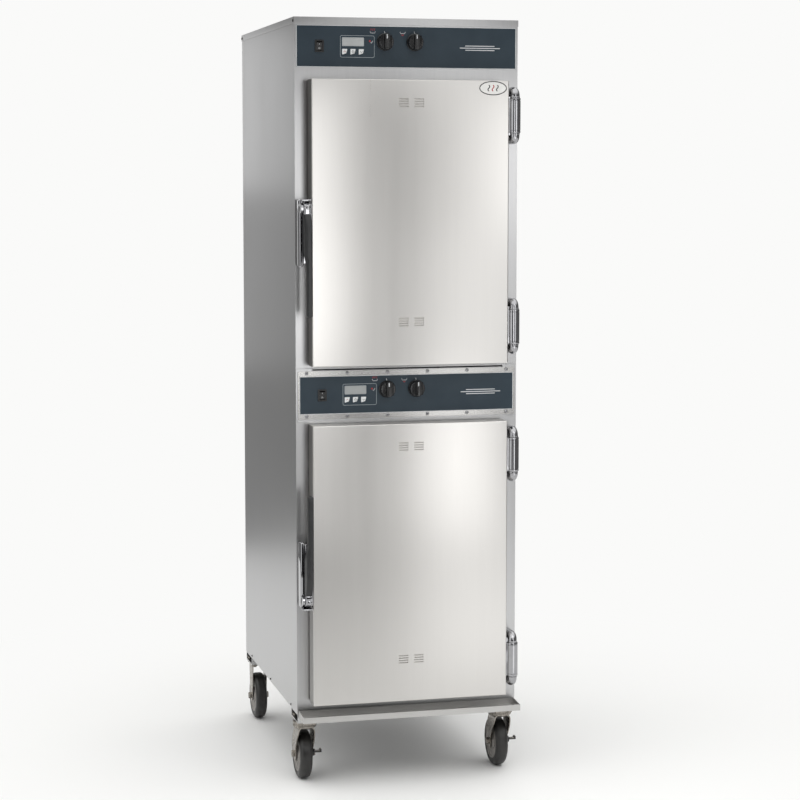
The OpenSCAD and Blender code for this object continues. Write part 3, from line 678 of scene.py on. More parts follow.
@dataclass(frozen=True)
class WoolBlanket(Finish):
    """Bonded mineral wool: tangled fibres in two yellows."""

    shade: str = "#8F7F4A"
    waves: float = 60.0
    bend: float = 14.0
    depth: float = 0.8 * MM

    def pattern(self, look: Shading) -> None:
        """Bent fibre bands for the relief and the two tones.

        Args:
            look: the material's shading.
        """
        sockets = {"Vector": look.place.outputs["Object"], "Scale": self.waves}
        sockets.update({"Distortion": self.bend, "Detail": 4.0})
        fibre = add_node(look.tree, "ShaderNodeTexWave", sockets).outputs["Fac"]
        look.tint(fibre, self.colour, self.shade, 0.2, 0.9)
        look.relief(fibre, self.depth, 0.8)


# Type 304 stainless, brushed: pale warm grey, reflections drawn out along the height of the sheet
CASING_STEEL = BrushedSteel("stainless_304_brushed", "#B6B6B7", 0.31, handled="#BCBCBC")
# The same steel brushed across, for the bands that run sideways
BAND_STEEL = BrushedSteel(
    "stainless_304_cross_brushed", "#B3B2B0", 0.27, grain=Grain.ALONG_X, handled="#B7B6B4",
    depth=0.0003 * MM, swing=0.01,
)
# The tray's sheet, rubbed duller by mopping, so that it spreads its reflections
TRAY_STEEL = BrushedSteel(
    "stainless_304_tray_dull", "#C2C1BF", 0.45, grain=Grain.ALONG_X, handled="#C6C5C3",
    depth=0.0002 * MM, swing=0.01,
)
# A brighter sheet, finely brushed, for doors: near white under a soft light
DOOR_STEEL = BrushedSteel(
    "stainless_304_fine_brushed", "#CAC8C5", 0.29, scratch=0.8 * MM, streak=26 * MM,
    handled="#CDCBC8", swing=0.02, depth=0.0025 * MM,
)
# Mill-finish stainless, dull and even, for linings that see heat
LINER_STEEL = BrushedSteel(
    "stainless_304_mill_finish", "#9C9B98", 0.36, grain=Grain.ALONG_Y, handled="#A8A6A2"
)
# Nickel-chrome plated wire
RACK_WIRE = PlatedMetal("nickel_chrome_wire", "#C4C4C3", 0.16, thin="#B2B0AC", wave=9 * MM)
# Bright chrome on die-cast zinc: dark and white bands with hardly any blur
CHROME = PlatedMetal(
    "bright_chrome_die_casting", "#A9A9AB", 0.06, thin="#A0A0A3", wave=30 * MM, depth=0.01 * MM
)
# Clear zinc plate on pressed steel: cool grey, cloudy, half dull
ZINC_PLATE = PlatedMetal(
    "clear_zinc_plate", "#A19C95", 0.27, thin="#8A857E", wave=8 * MM, depth=0.08 * MM
)
# Black oxide on steel: nearly black with a dry sheen
BLACK_OXIDE = PlatedMetal("black_oxide_steel", "#4A4846", 0.38, thin="#2E2D2C", wave=3 * MM)
# Slate blue ink under polycarbonate
SLATE_FILM = PrintedFilm("polycarbonate_film_slate_ink", "#2B3943", 0.46, deep="#283640", ior=1.4)
# White and light grey ink for lines and marks
LINE_INK = PrintedFilm("screen_print_white_ink", "#D9DBDC", 0.45, deep="#CBCED0")
# Red for the heat signs
RED_INK = PrintedFilm("screen_print_red_ink", "#B3262B", 0.42, deep="#A02026")
# Charcoal for the marks on white
DARK_INK = PrintedFilm("screen_print_charcoal_ink", "#202224", 0.5, deep="#1B1D1F", ior=1.35)
# Grey for the thin frame round the display
GREY_INK = PrintedFilm("screen_print_grey_ink", "#A9B1B5", 0.45, deep="#9FA8AC")
# Key caps printed white under the film
KEY_FILM = PrintedFilm("embossed_key_film_white", "#ECEEEE", 0.38, deep="#E2E5E6")
# Liquid crystal behind a clear window: flat grey-green, glossy on top
DISPLAY_GLASS = PrintedFilm("liquid_crystal_window", "#B2B5B5", 0.12, deep="#A9ACAC", coat=0.5)
# Black ABS with a fine moulded grain
BLACK_ABS = MouldedPlastic("black_abs_moulded", "#0F1011", 0.30, worn="#161617")
# Glass-filled nylon: black, drier than ABS
GRIP_NYLON = MouldedPlastic(
    "glass_filled_nylon_grip", "#1B1C1D", 0.42, grain=1.1 * MM, worn="#28282A"
)
# Phenolic moulding for knobs: deep black and fairly shiny
KNOB_PHENOLIC = MouldedPlastic(
    "phenolic_moulding_black", "#141415", 0.22, grain=1.5 * MM, worn="#222223"
)
# Grey polyolefin wheel centre
HUB_POLYOLEFIN = MouldedPlastic(
    "polyolefin_hub_grey", "#86827E", 0.46, worn="#95918C", depth=0.04 * MM
)
# Dark grey tread rubber
TREAD_RUBBER = MouldedRubber("thermoplastic_rubber_tread", "#232221", 0.42, dust="#302F2D")
# Silicone door seal: dark grey, soft and matt
SEAL_SILICONE = MouldedRubber("silicone_door_seal", "#3E3D3C", 0.6, dust="#57554F", pore=0.9 * MM)
# Red silicone round the heating wire
CABLE_SILICONE = MouldedRubber("silicone_heating_cable", "#7A241A", 0.5, dust="#8B3A2D")
# Bonded mineral wool behind the liners and in the doors: dry straw yellow
WOOL = WoolBlanket("bonded_mineral_wool", "#C2B279", 0.95)
# Cast aluminium thermostat case
CAST_CASE = PlatedMetal(
    "die_cast_aluminium_case", "#9A9B98", 0.42, thin="#888986", wave=4 * MM, depth=0.15 * MM
)
# White vitreous badge
BADGE_ENAMEL = PrintedFilm("badge_enamel_white", "#ECEBE8", 0.18, deep="#E3E2DE", coat=0.4)


# ---------------------------------------------------------------- pieces


def clean_mesh(mesh: bpy.types.Mesh, sharp_degrees: float, turn_out: bool) -> None:
    """Merges doubled points, turns faces outwards and shades smooth up to an edge angle.

    Args:
        mesh: the mesh to clean, in place.
        sharp_degrees: edges that bend more than this stay sharp.
        turn_out: recalculates the normals of each closed shell.
    """
    work = bmesh.new()
    work.from_mesh(mesh)
    bmesh.ops.remove_doubles(work, verts=work.verts, dist=SAME_PLACE)
    bmesh.ops.dissolve_degenerate(work, edges=work.edges, dist=SAME_PLACE / 10)
    if turn_out:
        bmesh.ops.recalc_face_normals(work, faces=work.faces)
    work.to_mesh(mesh)
    work.free()
    mesh.polygons.foreach_set("use_smooth", np.ones(len(mesh.polygons), bool))
    mesh.set_sharp_from_angle(angle=math.radians(sharp_degrees))


def make_object(name: str, mesh: bpy.types.Mesh, finish: Finish) -> bpy.types.Object:
    """Links a mesh into the scene as an object with one finish.

    Args:
        name: the object's name.
        mesh: its mesh.
        finish: what it is made of.

    Returns:
        The object.
    """
    mesh.materials.clear()
    mesh.materials.append(finish.material())
    thing = bpy.data.objects.new(name, mesh)
    bpy.context.scene.collection.objects.link(thing)
    return thing


def applied(thing: bpy.types.Object) -> bpy.types.Object:
    """Works out an object's modifiers into its own mesh and clears them.

    Args:
        thing: the object.

    Returns:
        The same object.
    """
    bpy.context.view_layer.update()
    graph = bpy.context.evaluated_depsgraph_get()
    mesh = bpy.data.meshes.new_from_object(thing.evaluated_get(graph))
    old = thing.data
    thing.modifiers.clear()
    thing.data = mesh
    bpy.data.meshes.remove(old)
    return thing


def add_piece(
    name: str,
    shape: Surface,
    finish: Finish,
    body: str,
    replaces: Sequence[str] = (),
) -> bpy.types.Object:
    """Makes a surface into a piece that rides on a CAD body.

    Args:
        name: the piece's name.
        shape: its surface.
        finish: what it is made of.
        body: the CAD body that it moves with.
        replaces: CAD nodes that it is shown instead of.

    Returns:
        The piece.
    """
    mesh = bpy.data.meshes.new(name)
    mesh.from_pydata(shape.points.tolist(), [], shape.faces)
    clean_mesh(mesh, SHARP_DEGREES, True)
    thing = make_object(name, mesh, finish)
    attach(thing, body)
    if replaces:
        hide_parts(*replaces)
    LOG.info("%s: %d faces on %s", name, len(thing.data.polygons), body)
    return thing


def even_normals(thing: bpy.types.Object) -> bpy.types.Object:
    """Lets the large faces lead at shared corners, so that flat sheet reflects as flat sheet.

    Args:
        thing: the piece.

    Returns:
        The same piece.
    """
    weigh = thing.modifiers.new("even_normals", "WEIGHTED_NORMAL")
    weigh.keep_sharp = True
    return applied(thing)


def softened_node(
    frame: dict, node: str, finish: Finish, body: str, width: float
) -> None:
    """Shows a CAD node as a copy with its edges rounded over, as folded or moulded edges are.

    Args:
        frame: what the frame loader returned.
        node: the CAD node to copy and stand for.
        finish: what it is made of.
        body: the CAD body that it moves with.
        width: width of the rounding.
    """
    flat, folded = math.radians(0.5), math.radians(40)
    mesh = frame["nodes"][node].data.copy()
    work = bmesh.new()
    work.from_mesh(mesh)
    bmesh.ops.remove_doubles(work, verts=work.verts, dist=SAME_PLACE)
    bmesh.ops.dissolve_limit(
        work, angle_limit=flat, verts=work.verts, edges=work.edges, delimit={"NORMAL"}
    )
    work.to_mesh(mesh)
    work.free()
    thing = make_object(node + "_shown", mesh, finish)
    bevel = thing.modifiers.new("edges", "BEVEL")
    bevel.width, bevel.segments = width, 2
    bevel.limit_method, bevel.angle_limit = "ANGLE", folded
    applied(thing)
    clean_mesh(thing.data, SHARP_DEGREES, False)
    even_normals(thing)
    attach(thing, body)
    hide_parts(node)
    LOG.info("%s: %d faces on %s", thing.name, len(thing.data.polygons), body)


def cut(thing: bpy.types.Object, hollow: Surface) -> None:
    """Takes a closed shape out of a piece and keeps the piece's sharp edges.

    Args:
        thing: the piece.
        hollow: the shape to take out.
    """
    mesh = bpy.data.meshes.new("cutter")
    mesh.from_pydata(hollow.points.tolist(), [], hollow.faces)
    clean_mesh(mesh, SHARP_DEGREES, True)
    tool = bpy.data.objects.new("cutter", mesh)
    bpy.context.scene.collection.objects.link(tool)
    boolean = thing.modifiers.new("openings", "BOOLEAN")
    boolean.object, boolean.operation, boolean.solver = tool, "DIFFERENCE", "EXACT"
    applied(thing)
    bpy.data.objects.remove(tool)
    clean_mesh(thing.data, SHARP_DEGREES, False)
    even_normals(thing)


@dataclass(frozen=True)
class Layout:
    """Where the cabinet's parts are, read from the CAD frame."""

    frame: dict
    left: float
    right: float
    front: float
    back: float
    base: float
    top: float

    @staticmethod
    def read(frame: dict) -> Layout:
        """Reads the casing's outline from its nodes' boxes.

        Args:
            frame: what the frame loader returned.

        Returns:
            The layout.
        """
        low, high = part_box("back_panel")
        _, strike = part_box("latch_strikes")
        _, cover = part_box("top_cover")
        return Layout(frame, low.x, high.x, strike.y, high.y, low.z, cover.z)

    def joint(self, name: str) -> Vector:
        """The point that a joint turns about."""
        return Vector(next(j["pos_m"] for j in self.frame["joints"] if j["name"] == name))


# ---------------------------------------------------------------- casing


def screw_head(radius: float, height: float) -> Surface:
    """A domed head with a cross recess, its flat at z = 0, on rings of radius r and angle a.

    The height is h (1 - (r/R)^2)^0.6, less a cross whose depth falls off with r and with how
    far a is from the four arms.

    Args:
        radius: radius of the head, R.
        height: height of the dome, h.

    Returns:
        The head.
    """
    recess, arm_reach, arm_fade = 0.55 * height, 0.62, 0.3
    rings = np.linspace(0.0, 1.0, 9)[:, None]
    a = round_angles(32)
    dome = height * np.maximum(1 - rings**2, 0) ** 0.6
    arms = np.abs(np.cos(2 * a)) ** 6
    depth = np.clip(arm_reach - rings, 0, arm_fade) / arm_fade * (rings > 0)
    points = round_points(radius * rings, a, dome - recess * arms * depth)
    last = (len(rings) - 1) * len(a)
    return Surface(points, [*grid_faces(len(rings), len(a)), tuple(range(last, last + len(a)))])


@dataclass
class Casing:
    """The outer sheets, their screws, and the bands between the doors."""

    layout: Layout
    fold: float = 0.55 * MM
    panel_fold: float = 0.4 * MM
    fascia_fold: float = 0.7 * MM
    gland_edge: float = 0.6 * MM
    skirt_screw: float = 4.0 * MM
    skirt_proud: float = 1.2 * MM
    skirt_line: float = 9.5 * MM
    skirt_ends: tuple[float, float] = (9 * MM, 7 * MM)
    foot_screw: float = 3.0 * MM
    foot_line: float = 7 * MM
    foot_spread: tuple[float, ...] = (0.11, 0.49, 0.87)
    head_height: float = 2.0 * MM
    fascia_screw: float = 4.6 * MM
    fascia_head: float = 2.4 * MM
    fascia_margin: float = 27 * MM
    fascia_lines: tuple[float, float] = (7.5 * MM, 5.5 * MM)
    screws_across: int = 6
    back_screw: float = 4 * MM
    back_margins: tuple[float, float] = (12 * MM, 40 * MM)
    back_rows: int = 6
    hood_half: float = 62 * MM
    hood_reach: tuple[float, float] = (5 * MM, 3.6 * MM)
    hood_pitch: float = 9 * MM
    hood_across: float = 180 * MM
    hood_starts: tuple[float, float] = (90 * MM, 30 * MM)
    hoods: int = 6

    def build(self) -> None:
        """Shows the sheets with folded edges."""
        sheets = (
            ("left_side_panel", CASING_STEEL, self.panel_fold),
            ("right_side_panel", CASING_STEEL, self.panel_fold),
            ("top_cover", CASING_STEEL, self.fold),
            ("front_frame", CASING_STEEL, self.fold),
            ("back_panel", CASING_STEEL, self.panel_fold),
            ("lower_fascia", BAND_STEEL, self.fascia_fold),
            ("base_frame", CASING_STEEL, self.fold),
        )
        frame = self.layout.frame
        for node, finish, width in sheets:
            softened_node(frame, node, finish, "cabinet", width)
        softened_node(
            frame, "cord_gland", BLACK_ABS, "cabinet", self.gland_edge
        )

    def side_screws(self) -> Surface:
        """Screw heads on both sides, along the cover's skirt and the foot of the panels.

        Returns:
            The heads.
        """
        lay = self.layout
        depth = lay.back - lay.front
        near, far = self.skirt_ends
        rows = [(y, self.skirt_proud, lay.top - self.skirt_line) for y in (near, depth - far)]
        rows += [(share * depth, 0.0, lay.base + self.foot_line) for share in self.foot_spread]
        heads = []
        for side, x in ((-1, lay.left), (1, lay.right)):
            for y, proud, z in rows:
                radius = self.skirt_screw if proud else self.foot_screw
                head = screw_head(radius, self.head_height).turned(90 * side, "Y")
                heads.append(head.moved(x + side * proud, lay.front + y, z))
        return joined(heads)

    def fascia_screws(self) -> Surface:
        """Domed heads in two rows along the lower fascia.

        Returns:
            The heads.
        """
        low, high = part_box("lower_fascia")
        ends = self.layout.left + self.fascia_margin, self.layout.right - self.fascia_margin
        head = screw_head(self.fascia_screw, self.fascia_head).turned(90, "X")
        rows = (low.z + self.fascia_lines[0], high.z - self.fascia_lines[1])
        across = np.linspace(*ends, self.screws_across).tolist()
        return joined(head.moved(x, low.y, z) for x in across for z in rows)

    def back_screws(self) -> Surface:
        """Heads down both edges of the back panel.

        Returns:
            The heads.
        """
        lay = self.layout
        head = screw_head(self.back_screw, self.head_height).turned(-90, "X")
        in_x, in_z = self.back_margins
        heights = np.linspace(lay.base + in_z, lay.top - in_z, self.back_rows).tolist()
        edges = (lay.left + in_x, lay.right - in_x)
        return joined(head.moved(x, lay.back, z) for x in edges for z in heights)

    def louvres(self) -> Surface:
        """Hoods over the back panel's slots, half ellipses that close at both ends.

        Along the hood u runs from -1 to 1, and the half ellipse of depth b and height c shrinks
        by (1 - u^6)^0.5.

        Returns:
            Two banks of hoods.
        """
        lay = self.layout
        u = np.linspace(-1, 1, 25)
        shrink = np.sqrt(np.maximum(1 - u**6, 0.0))[:, None]
        a = np.linspace(0, math.pi, 13)
        x = (u * self.hood_half)[:, None] + 0 * a
        y = self.hood_reach[0] * np.sin(a) * shrink
        z = self.hood_reach[1] * np.cos(a) * shrink
        hood = Surface(np.stack([x, y, z], -1).reshape(-1, 3), grid_faces(len(u), len(a)))
        fascia_low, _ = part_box("lower_fascia")
        first = self.hood_reach[1] + 1 * MM
        starts = (lay.top - self.hood_starts[0], fascia_low.z + self.hood_starts[1])
        return joined(
            hood.moved(lay.left + self.hood_across, lay.back, start + row * self.hood_pitch + first)
            for start in starts
            for row in range(self.hoods)
        )

    def dress(self) -> None:
        """Adds the screws and the louvre hoods."""
        for name, shape, finish, slot, replaced in (
            ("side_screws", self.side_screws(), BLACK_OXIDE, "screw_steel", ["casing_screws"]),
            ("fascia_screws", self.fascia_screws(), CHROME, "screw_steel", []),
            ("back_screws", self.back_screws(), ZINC_PLATE, "screw_steel", []),
            ("back_louvre_hoods", self.louvres(), CASING_STEEL, "casing_steel", []),
        ):
            add_piece(name, shape, finish, "cabinet", replaced)


# ---------------------------------------------------------------- controls


class Level(Enum):
    """Which of the two compartments a part belongs to."""

    UPPER = "upper"
    LOWER = "lower"


@dataclass
class ControlPanel:
    """One compartment's printed panel with its display, keys, rocker and two knobs."""

    layout: Layout
    level: Level
    film_side: float = 0.0
    film_height: float = 0.0
    face: float = 0.0
    middle: float = 0.0
    film_thick: float = 0.6 * MM
    line: float = 1.3 * MM
    proud: float = 0.12 * MM
    outline: tuple[float, float] = (86 * MM, 53 * MM)
    outline_at: float = 153.5 * MM
    window: tuple[float, float] = (54 * MM, 20 * MM)
    window_at: tuple[float, float] = (142.5 * MM, 11.5 * MM)
    key: tuple[float, float] = (13 * MM, 13.5 * MM)
    key_up: float = -13 * MM
    key_pitch: float = 21 * MM
    key_thick: float = 0.7 * MM
    key_cut: float = 3.6 * MM
    lamp_at: tuple[float, float] = (187.5 * MM, 12 * MM)
    marks_at: tuple[float, float] = (223.5 * MM, 299.5 * MM)
    marks_up: float = 36 * MM
    tray_back: float = 31 * MM
    heat_at: tuple[float, float] = (192.5 * MM, 42 * MM)
    heat_pitch: float = 4.5 * MM
    arrow_at: tuple[float, float] = (268.5 * MM, 29 * MM)
    bars_at: float = 468 * MM
    bars_pitch: float = 5.2 * MM
    bar_halves: tuple[float, ...] = (38 * MM, 52 * MM, 38 * MM)
    knob_radius: float = 21.5 * MM
    knob_depth: float = 24 * MM
    flutes: int = 18
    flute: float = 0.8 * MM

    def __post_init__(self) -> None:
        """Works out where the film lies from the CAD boxes."""
        film_low, film_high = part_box("control_overlays")
        if self.level is Level.UPPER:
            self.film_side, self.film_height = 5 * MM, 102 * MM
            self.face = self.layout.front - self.film_thick
            self.middle = film_high.z - self.film_height / 2
        else:
            self.film_side, self.film_height = 9 * MM, 95 * MM
            self.face = film_low.y
            self.middle = film_low.z + self.film_height / 2

    def spot(self, across: float, up: float) -> tuple[float, float, float]:
        """A place on the film's face.

        Args:
            across: distance from the film's left edge.
            up: height above the film's middle.

        Returns:
            The place in the frame's axes.
        """
        return (self.layout.left + self.film_side + across, self.face, self.middle + up)

    def print_on(self, name: str, shapes: Sequence[Surface], finish: Finish) -> None:
        """Adds printed marks as one thin piece on the film.

        Args:
            name: the piece's name without the level.
            shapes: the marks.
            finish: the ink.
        """
        title = f"{self.level.value}_{name}"
        add_piece(title, joined(shapes), finish, "cabinet")

    def borders(self) -> None:
        """The light line round the film and the one round the display."""
        width = self.layout.right - self.layout.left - 2 * self.film_side
        loop = rounded_loop(width - self.line, self.film_height - self.line, 1.5 * MM)
        rim = raised_line(loop, self.line, 0.5 * MM, True)
        box = raised_line(rounded_loop(*self.outline, 4 * MM), 0.9 * MM, 2 * self.proud, True)
        self.print_on("film_border", [rim.moved(*self.spot(width / 2, 0))], LINE_INK)
        self.print_on("display_outline", [box.moved(*self.spot(self.outline_at, 0))], GREY_INK)

    def display(self) -> None:
        """The window with its rim, the three keys and the lamp."""
        title = self.level.value
        x, y, z = self.spot(*self.window_at)
        window = plate(rounded_loop(*self.window, 1.0 * MM), 0.5 * MM).moved(x, y + 0.1 * MM, z)
        replaced = ["control_displays"] if self.level is Level.UPPER else []
        add_piece(
            title + "_display_window", window, DISPLAY_GLASS, "cabinet", replaced
        )
        wide, tall = self.window
        loop = rounded_loop(wide + 1 * MM, tall + 1 * MM, 1.6 * MM)
        rim = raised_line(loop, 0.7 * MM, 0.7 * MM, True)
        self.print_on("display_rim", [rim.moved(x, y, z)], GREY_INK)
        loop = rounded_loop(*self.key, 1.4 * MM)
        corner = (loop[:, 0] > self.key_cut) & (loop[:, 1] < -self.key_cut)
        cap = plate(np.where(corner[:, None], loop * 0.62, loop), self.key_thick)
        spots = [self.spot(self.window_at[0] + i * self.key_pitch, self.key_up) for i in (-1, 0, 1)]
        self.print_on("keys", [cap.moved(*spot) for spot in spots], KEY_FILM)
        marks = [
            mark.moved(kx, ky - self.key_thick - 0.02 * MM, kz)
            for mark, (kx, ky, kz) in zip(self.key_marks(), spots)
        ]
        self.print_on("key_marks", marks[1:], DARK_INK)
        lx, ly, lz = self.spot(*self.lamp_at)
        dome = [(0, 1.4 * MM), (1.0 * MM, 1.3 * MM), (1.9 * MM, 0.8 * MM), (2.3 * MM, 0), (0, 0)]
        lens = lathe(dome, 24).turned(90, "X").moved(lx - 2.4 * MM, ly, lz + 1.6 * MM)
        self.print_on("lamp_and_key_mark", [lens, marks[0]], RED_INK)
        tick = [(-0.5 * MM, -1.5 * MM), (1.4 * MM, -3.6 * MM), (5.2 * MM, 2.4 * MM)]
        line = raised_line(tick, 1.3 * MM, self.proud)
        self.print_on("lamp_tick", [line.moved(lx, ly, lz)], LINE_INK)

    def key_marks(self) -> tuple[Surface, Surface, Surface]:
        """An arrow up, a clock face and an arrow down, each round its key's middle.

        Returns:
            The marks from left to right.
        """
        wing, tip = 2.6 * MM, 2.6 * MM
        up, down = (
            raised_line([(-wing, -way * 0.5), (0, way), (wing, -way * 0.5)], 1.0 * MM, self.proud)
            for way in (tip, -tip)
        )
        dial = raised_line(squircle(2.8 * MM, 2.8 * MM, 2.0), 0.8 * MM, self.proud, True)
        hand = raised_line([(0, 0), (0, 2.0 * MM)], 0.8 * MM, self.proud)
        return up, joined([dial, hand]), down

    def marks(self) -> None:
        """Tick marks and a plain heat sign over each knob, and three bars for a name."""
        white, red = [], []
        tick = raised_line([(-1.2 * MM, 2.5 * MM), (0, -2.5 * MM)], 1.4 * MM, self.proud)
        rim, floor, high, low = 7 * MM, 5 * MM, 1.5 * MM, -2.5 * MM
        tray = raised_line(
            [(-rim, high), (-floor, low), (floor, low), (rim, high)], 1.0 * MM, self.proud
        )
        for across in self.marks_at:
            x, y, z = self.spot(across, self.marks_up)
            white += [tick.moved(x, y, z), tray.moved(x - self.tray_back, y, z)]
        t = np.linspace(-1, 1, 9)
        wave = raised_line(
            pairs(1.0 * MM * np.sin(t * math.pi), 2.6 * MM * t), 0.9 * MM, self.proud
        )
        for k in (-1, 0, 1):
            place = self.spot(self.heat_at[0] + k * self.heat_pitch, self.heat_at[1])
            red.append(wave.moved(*place))
        arrow = raised_line(
            [(-2.6 * MM, 2 * MM), (0, -1 * MM), (2.6 * MM, 2 * MM)], 1.6 * MM, self.proud
        )
        red.append(arrow.moved(*self.spot(*self.arrow_at)))
        for k in (0, 1, -1):
            half = self.bar_halves[k + 1]
            bar = raised_line([(-half, 0), (half, 0)], 2.0 * MM, self.proud)
            white.append(bar.moved(*self.spot(self.bars_at, k * self.bars_pitch)))
        self.print_on("white_marks", white, LINE_INK)
        self.print_on("red_marks", red, RED_INK)

    def knob_shape(self) -> tuple[Surface, Surface]:
        """A knob in its own axes, with its face towards +Z, and its pointer.

        The skirt is turned. The body's radius is R - d |sin(n a / 2)|^3 at the angle a, which
        gives n flutes, and falls off over its top edge. The grip is a bar with rounded edges.

        Returns:
            The knob and the pointer.
        """
        radius, depth = self.knob_radius, self.knob_depth
        skirt = lathe(
            [
                (0, 0), (radius - 0.5 * MM, 0), (radius, 0.6 * MM), (radius, 2.8 * MM),
                (radius - 1.2 * MM, 4 * MM), (0, 4 * MM),
            ]
        )
        a = round_angles(144)
        flute = self.flute * np.abs(np.sin(self.flutes / 2 * a)) ** 3
        levels = np.array([[3.5, 0.0], [13.5, 0.6], [14.7, 1.2], [15.0, 2.4], [15.0, 19.0]]) * MM
        r = np.maximum(radius - 1.6 * MM - levels[:, 1:] - flute, 0.4 * MM)
        body = round_points(r, a, levels[:, :1])
        reach, half, short = radius - 3.0 * MM, 5.6 * MM, 0.86 * (radius - 3.0 * MM)
        bar = rounded_box((-half, -reach, 8 * MM), (half, reach, depth), 2.2 * MM)
        ribs = [
            rounded_box(
                (x - 0.5 * MM, -short, 12 * MM), (x + 0.5 * MM, short, 17 * MM), 0.4 * MM, 2
            )
            for x in (-13 * MM, -10 * MM, 10 * MM, 13 * MM)
        ]
        pointer = rounded_box(
            (-1.3 * MM, reach - 11 * MM, depth - 0.5 * MM),
            (1.3 * MM, reach - 1 * MM, depth + 0.15 * MM),
            0.3 * MM,
            2,
        )
        flutes = Surface(body, capped_grid(len(levels), len(a)))
        return joined([skirt, flutes, bar, *ribs]), pointer

    def knobs(self) -> None:
        """Both knobs, each on its own body."""
        shape, pointer = self.knob_shape()
        for job in ("cook", "hold"):
            name = f"{self.level.value}_{job}"
            pivot = self.layout.joint(f"{name}_turn")
            place = (pivot.x, self.face - 1 * MM, pivot.z)
            body = f"{name}_knob_body"
            for title, solid, finish, replaced in (
                ("_knob_shown", shape, KNOB_PHENOLIC, [name + "_knob"]),
                ("_pointer", pointer, LINE_INK, []),
            ):
                turned = solid.turned(90, "X").moved(*place)
                add_piece(name + title, turned, finish, body, replaced)

    def rocker(self) -> None:
        """The rocker with a bar for on and a ring for off."""
        name = self.level.value
        body = f"{name}_rocker_body"
        pivot = self.layout.joint(f"{name}_rocker_tilt")
        softened_node(
            self.layout.frame, f"{name}_rocker", BLACK_ABS, body, 0.5 * MM
        )
        size, up, thick = 1.8 * MM, 5.2 * MM, 0.3 * MM
        bar = raised_line([(0, -size), (0, size)], 0.8 * MM, thick)
        ring = raised_line(squircle(size, size, 2.0), 0.7 * MM, thick, True)
        marks = joined([bar.moved(0, -7.75 * MM, up), ring.moved(0, -6.1 * MM, -up)])
        marks = marks.moved(pivot.x, pivot.y, pivot.z)
        add_piece(f"{name}_rocker_marks", marks, LINE_INK, body)

    def build(self) -> None:
        """Makes the display, knobs and rocker."""
        self.display()
        self.knobs()
        self.rocker()

    def dress(self) -> None:
        """Prints the panel."""
        self.borders()
        self.marks()


# ---------------------------------------------------------------- doors


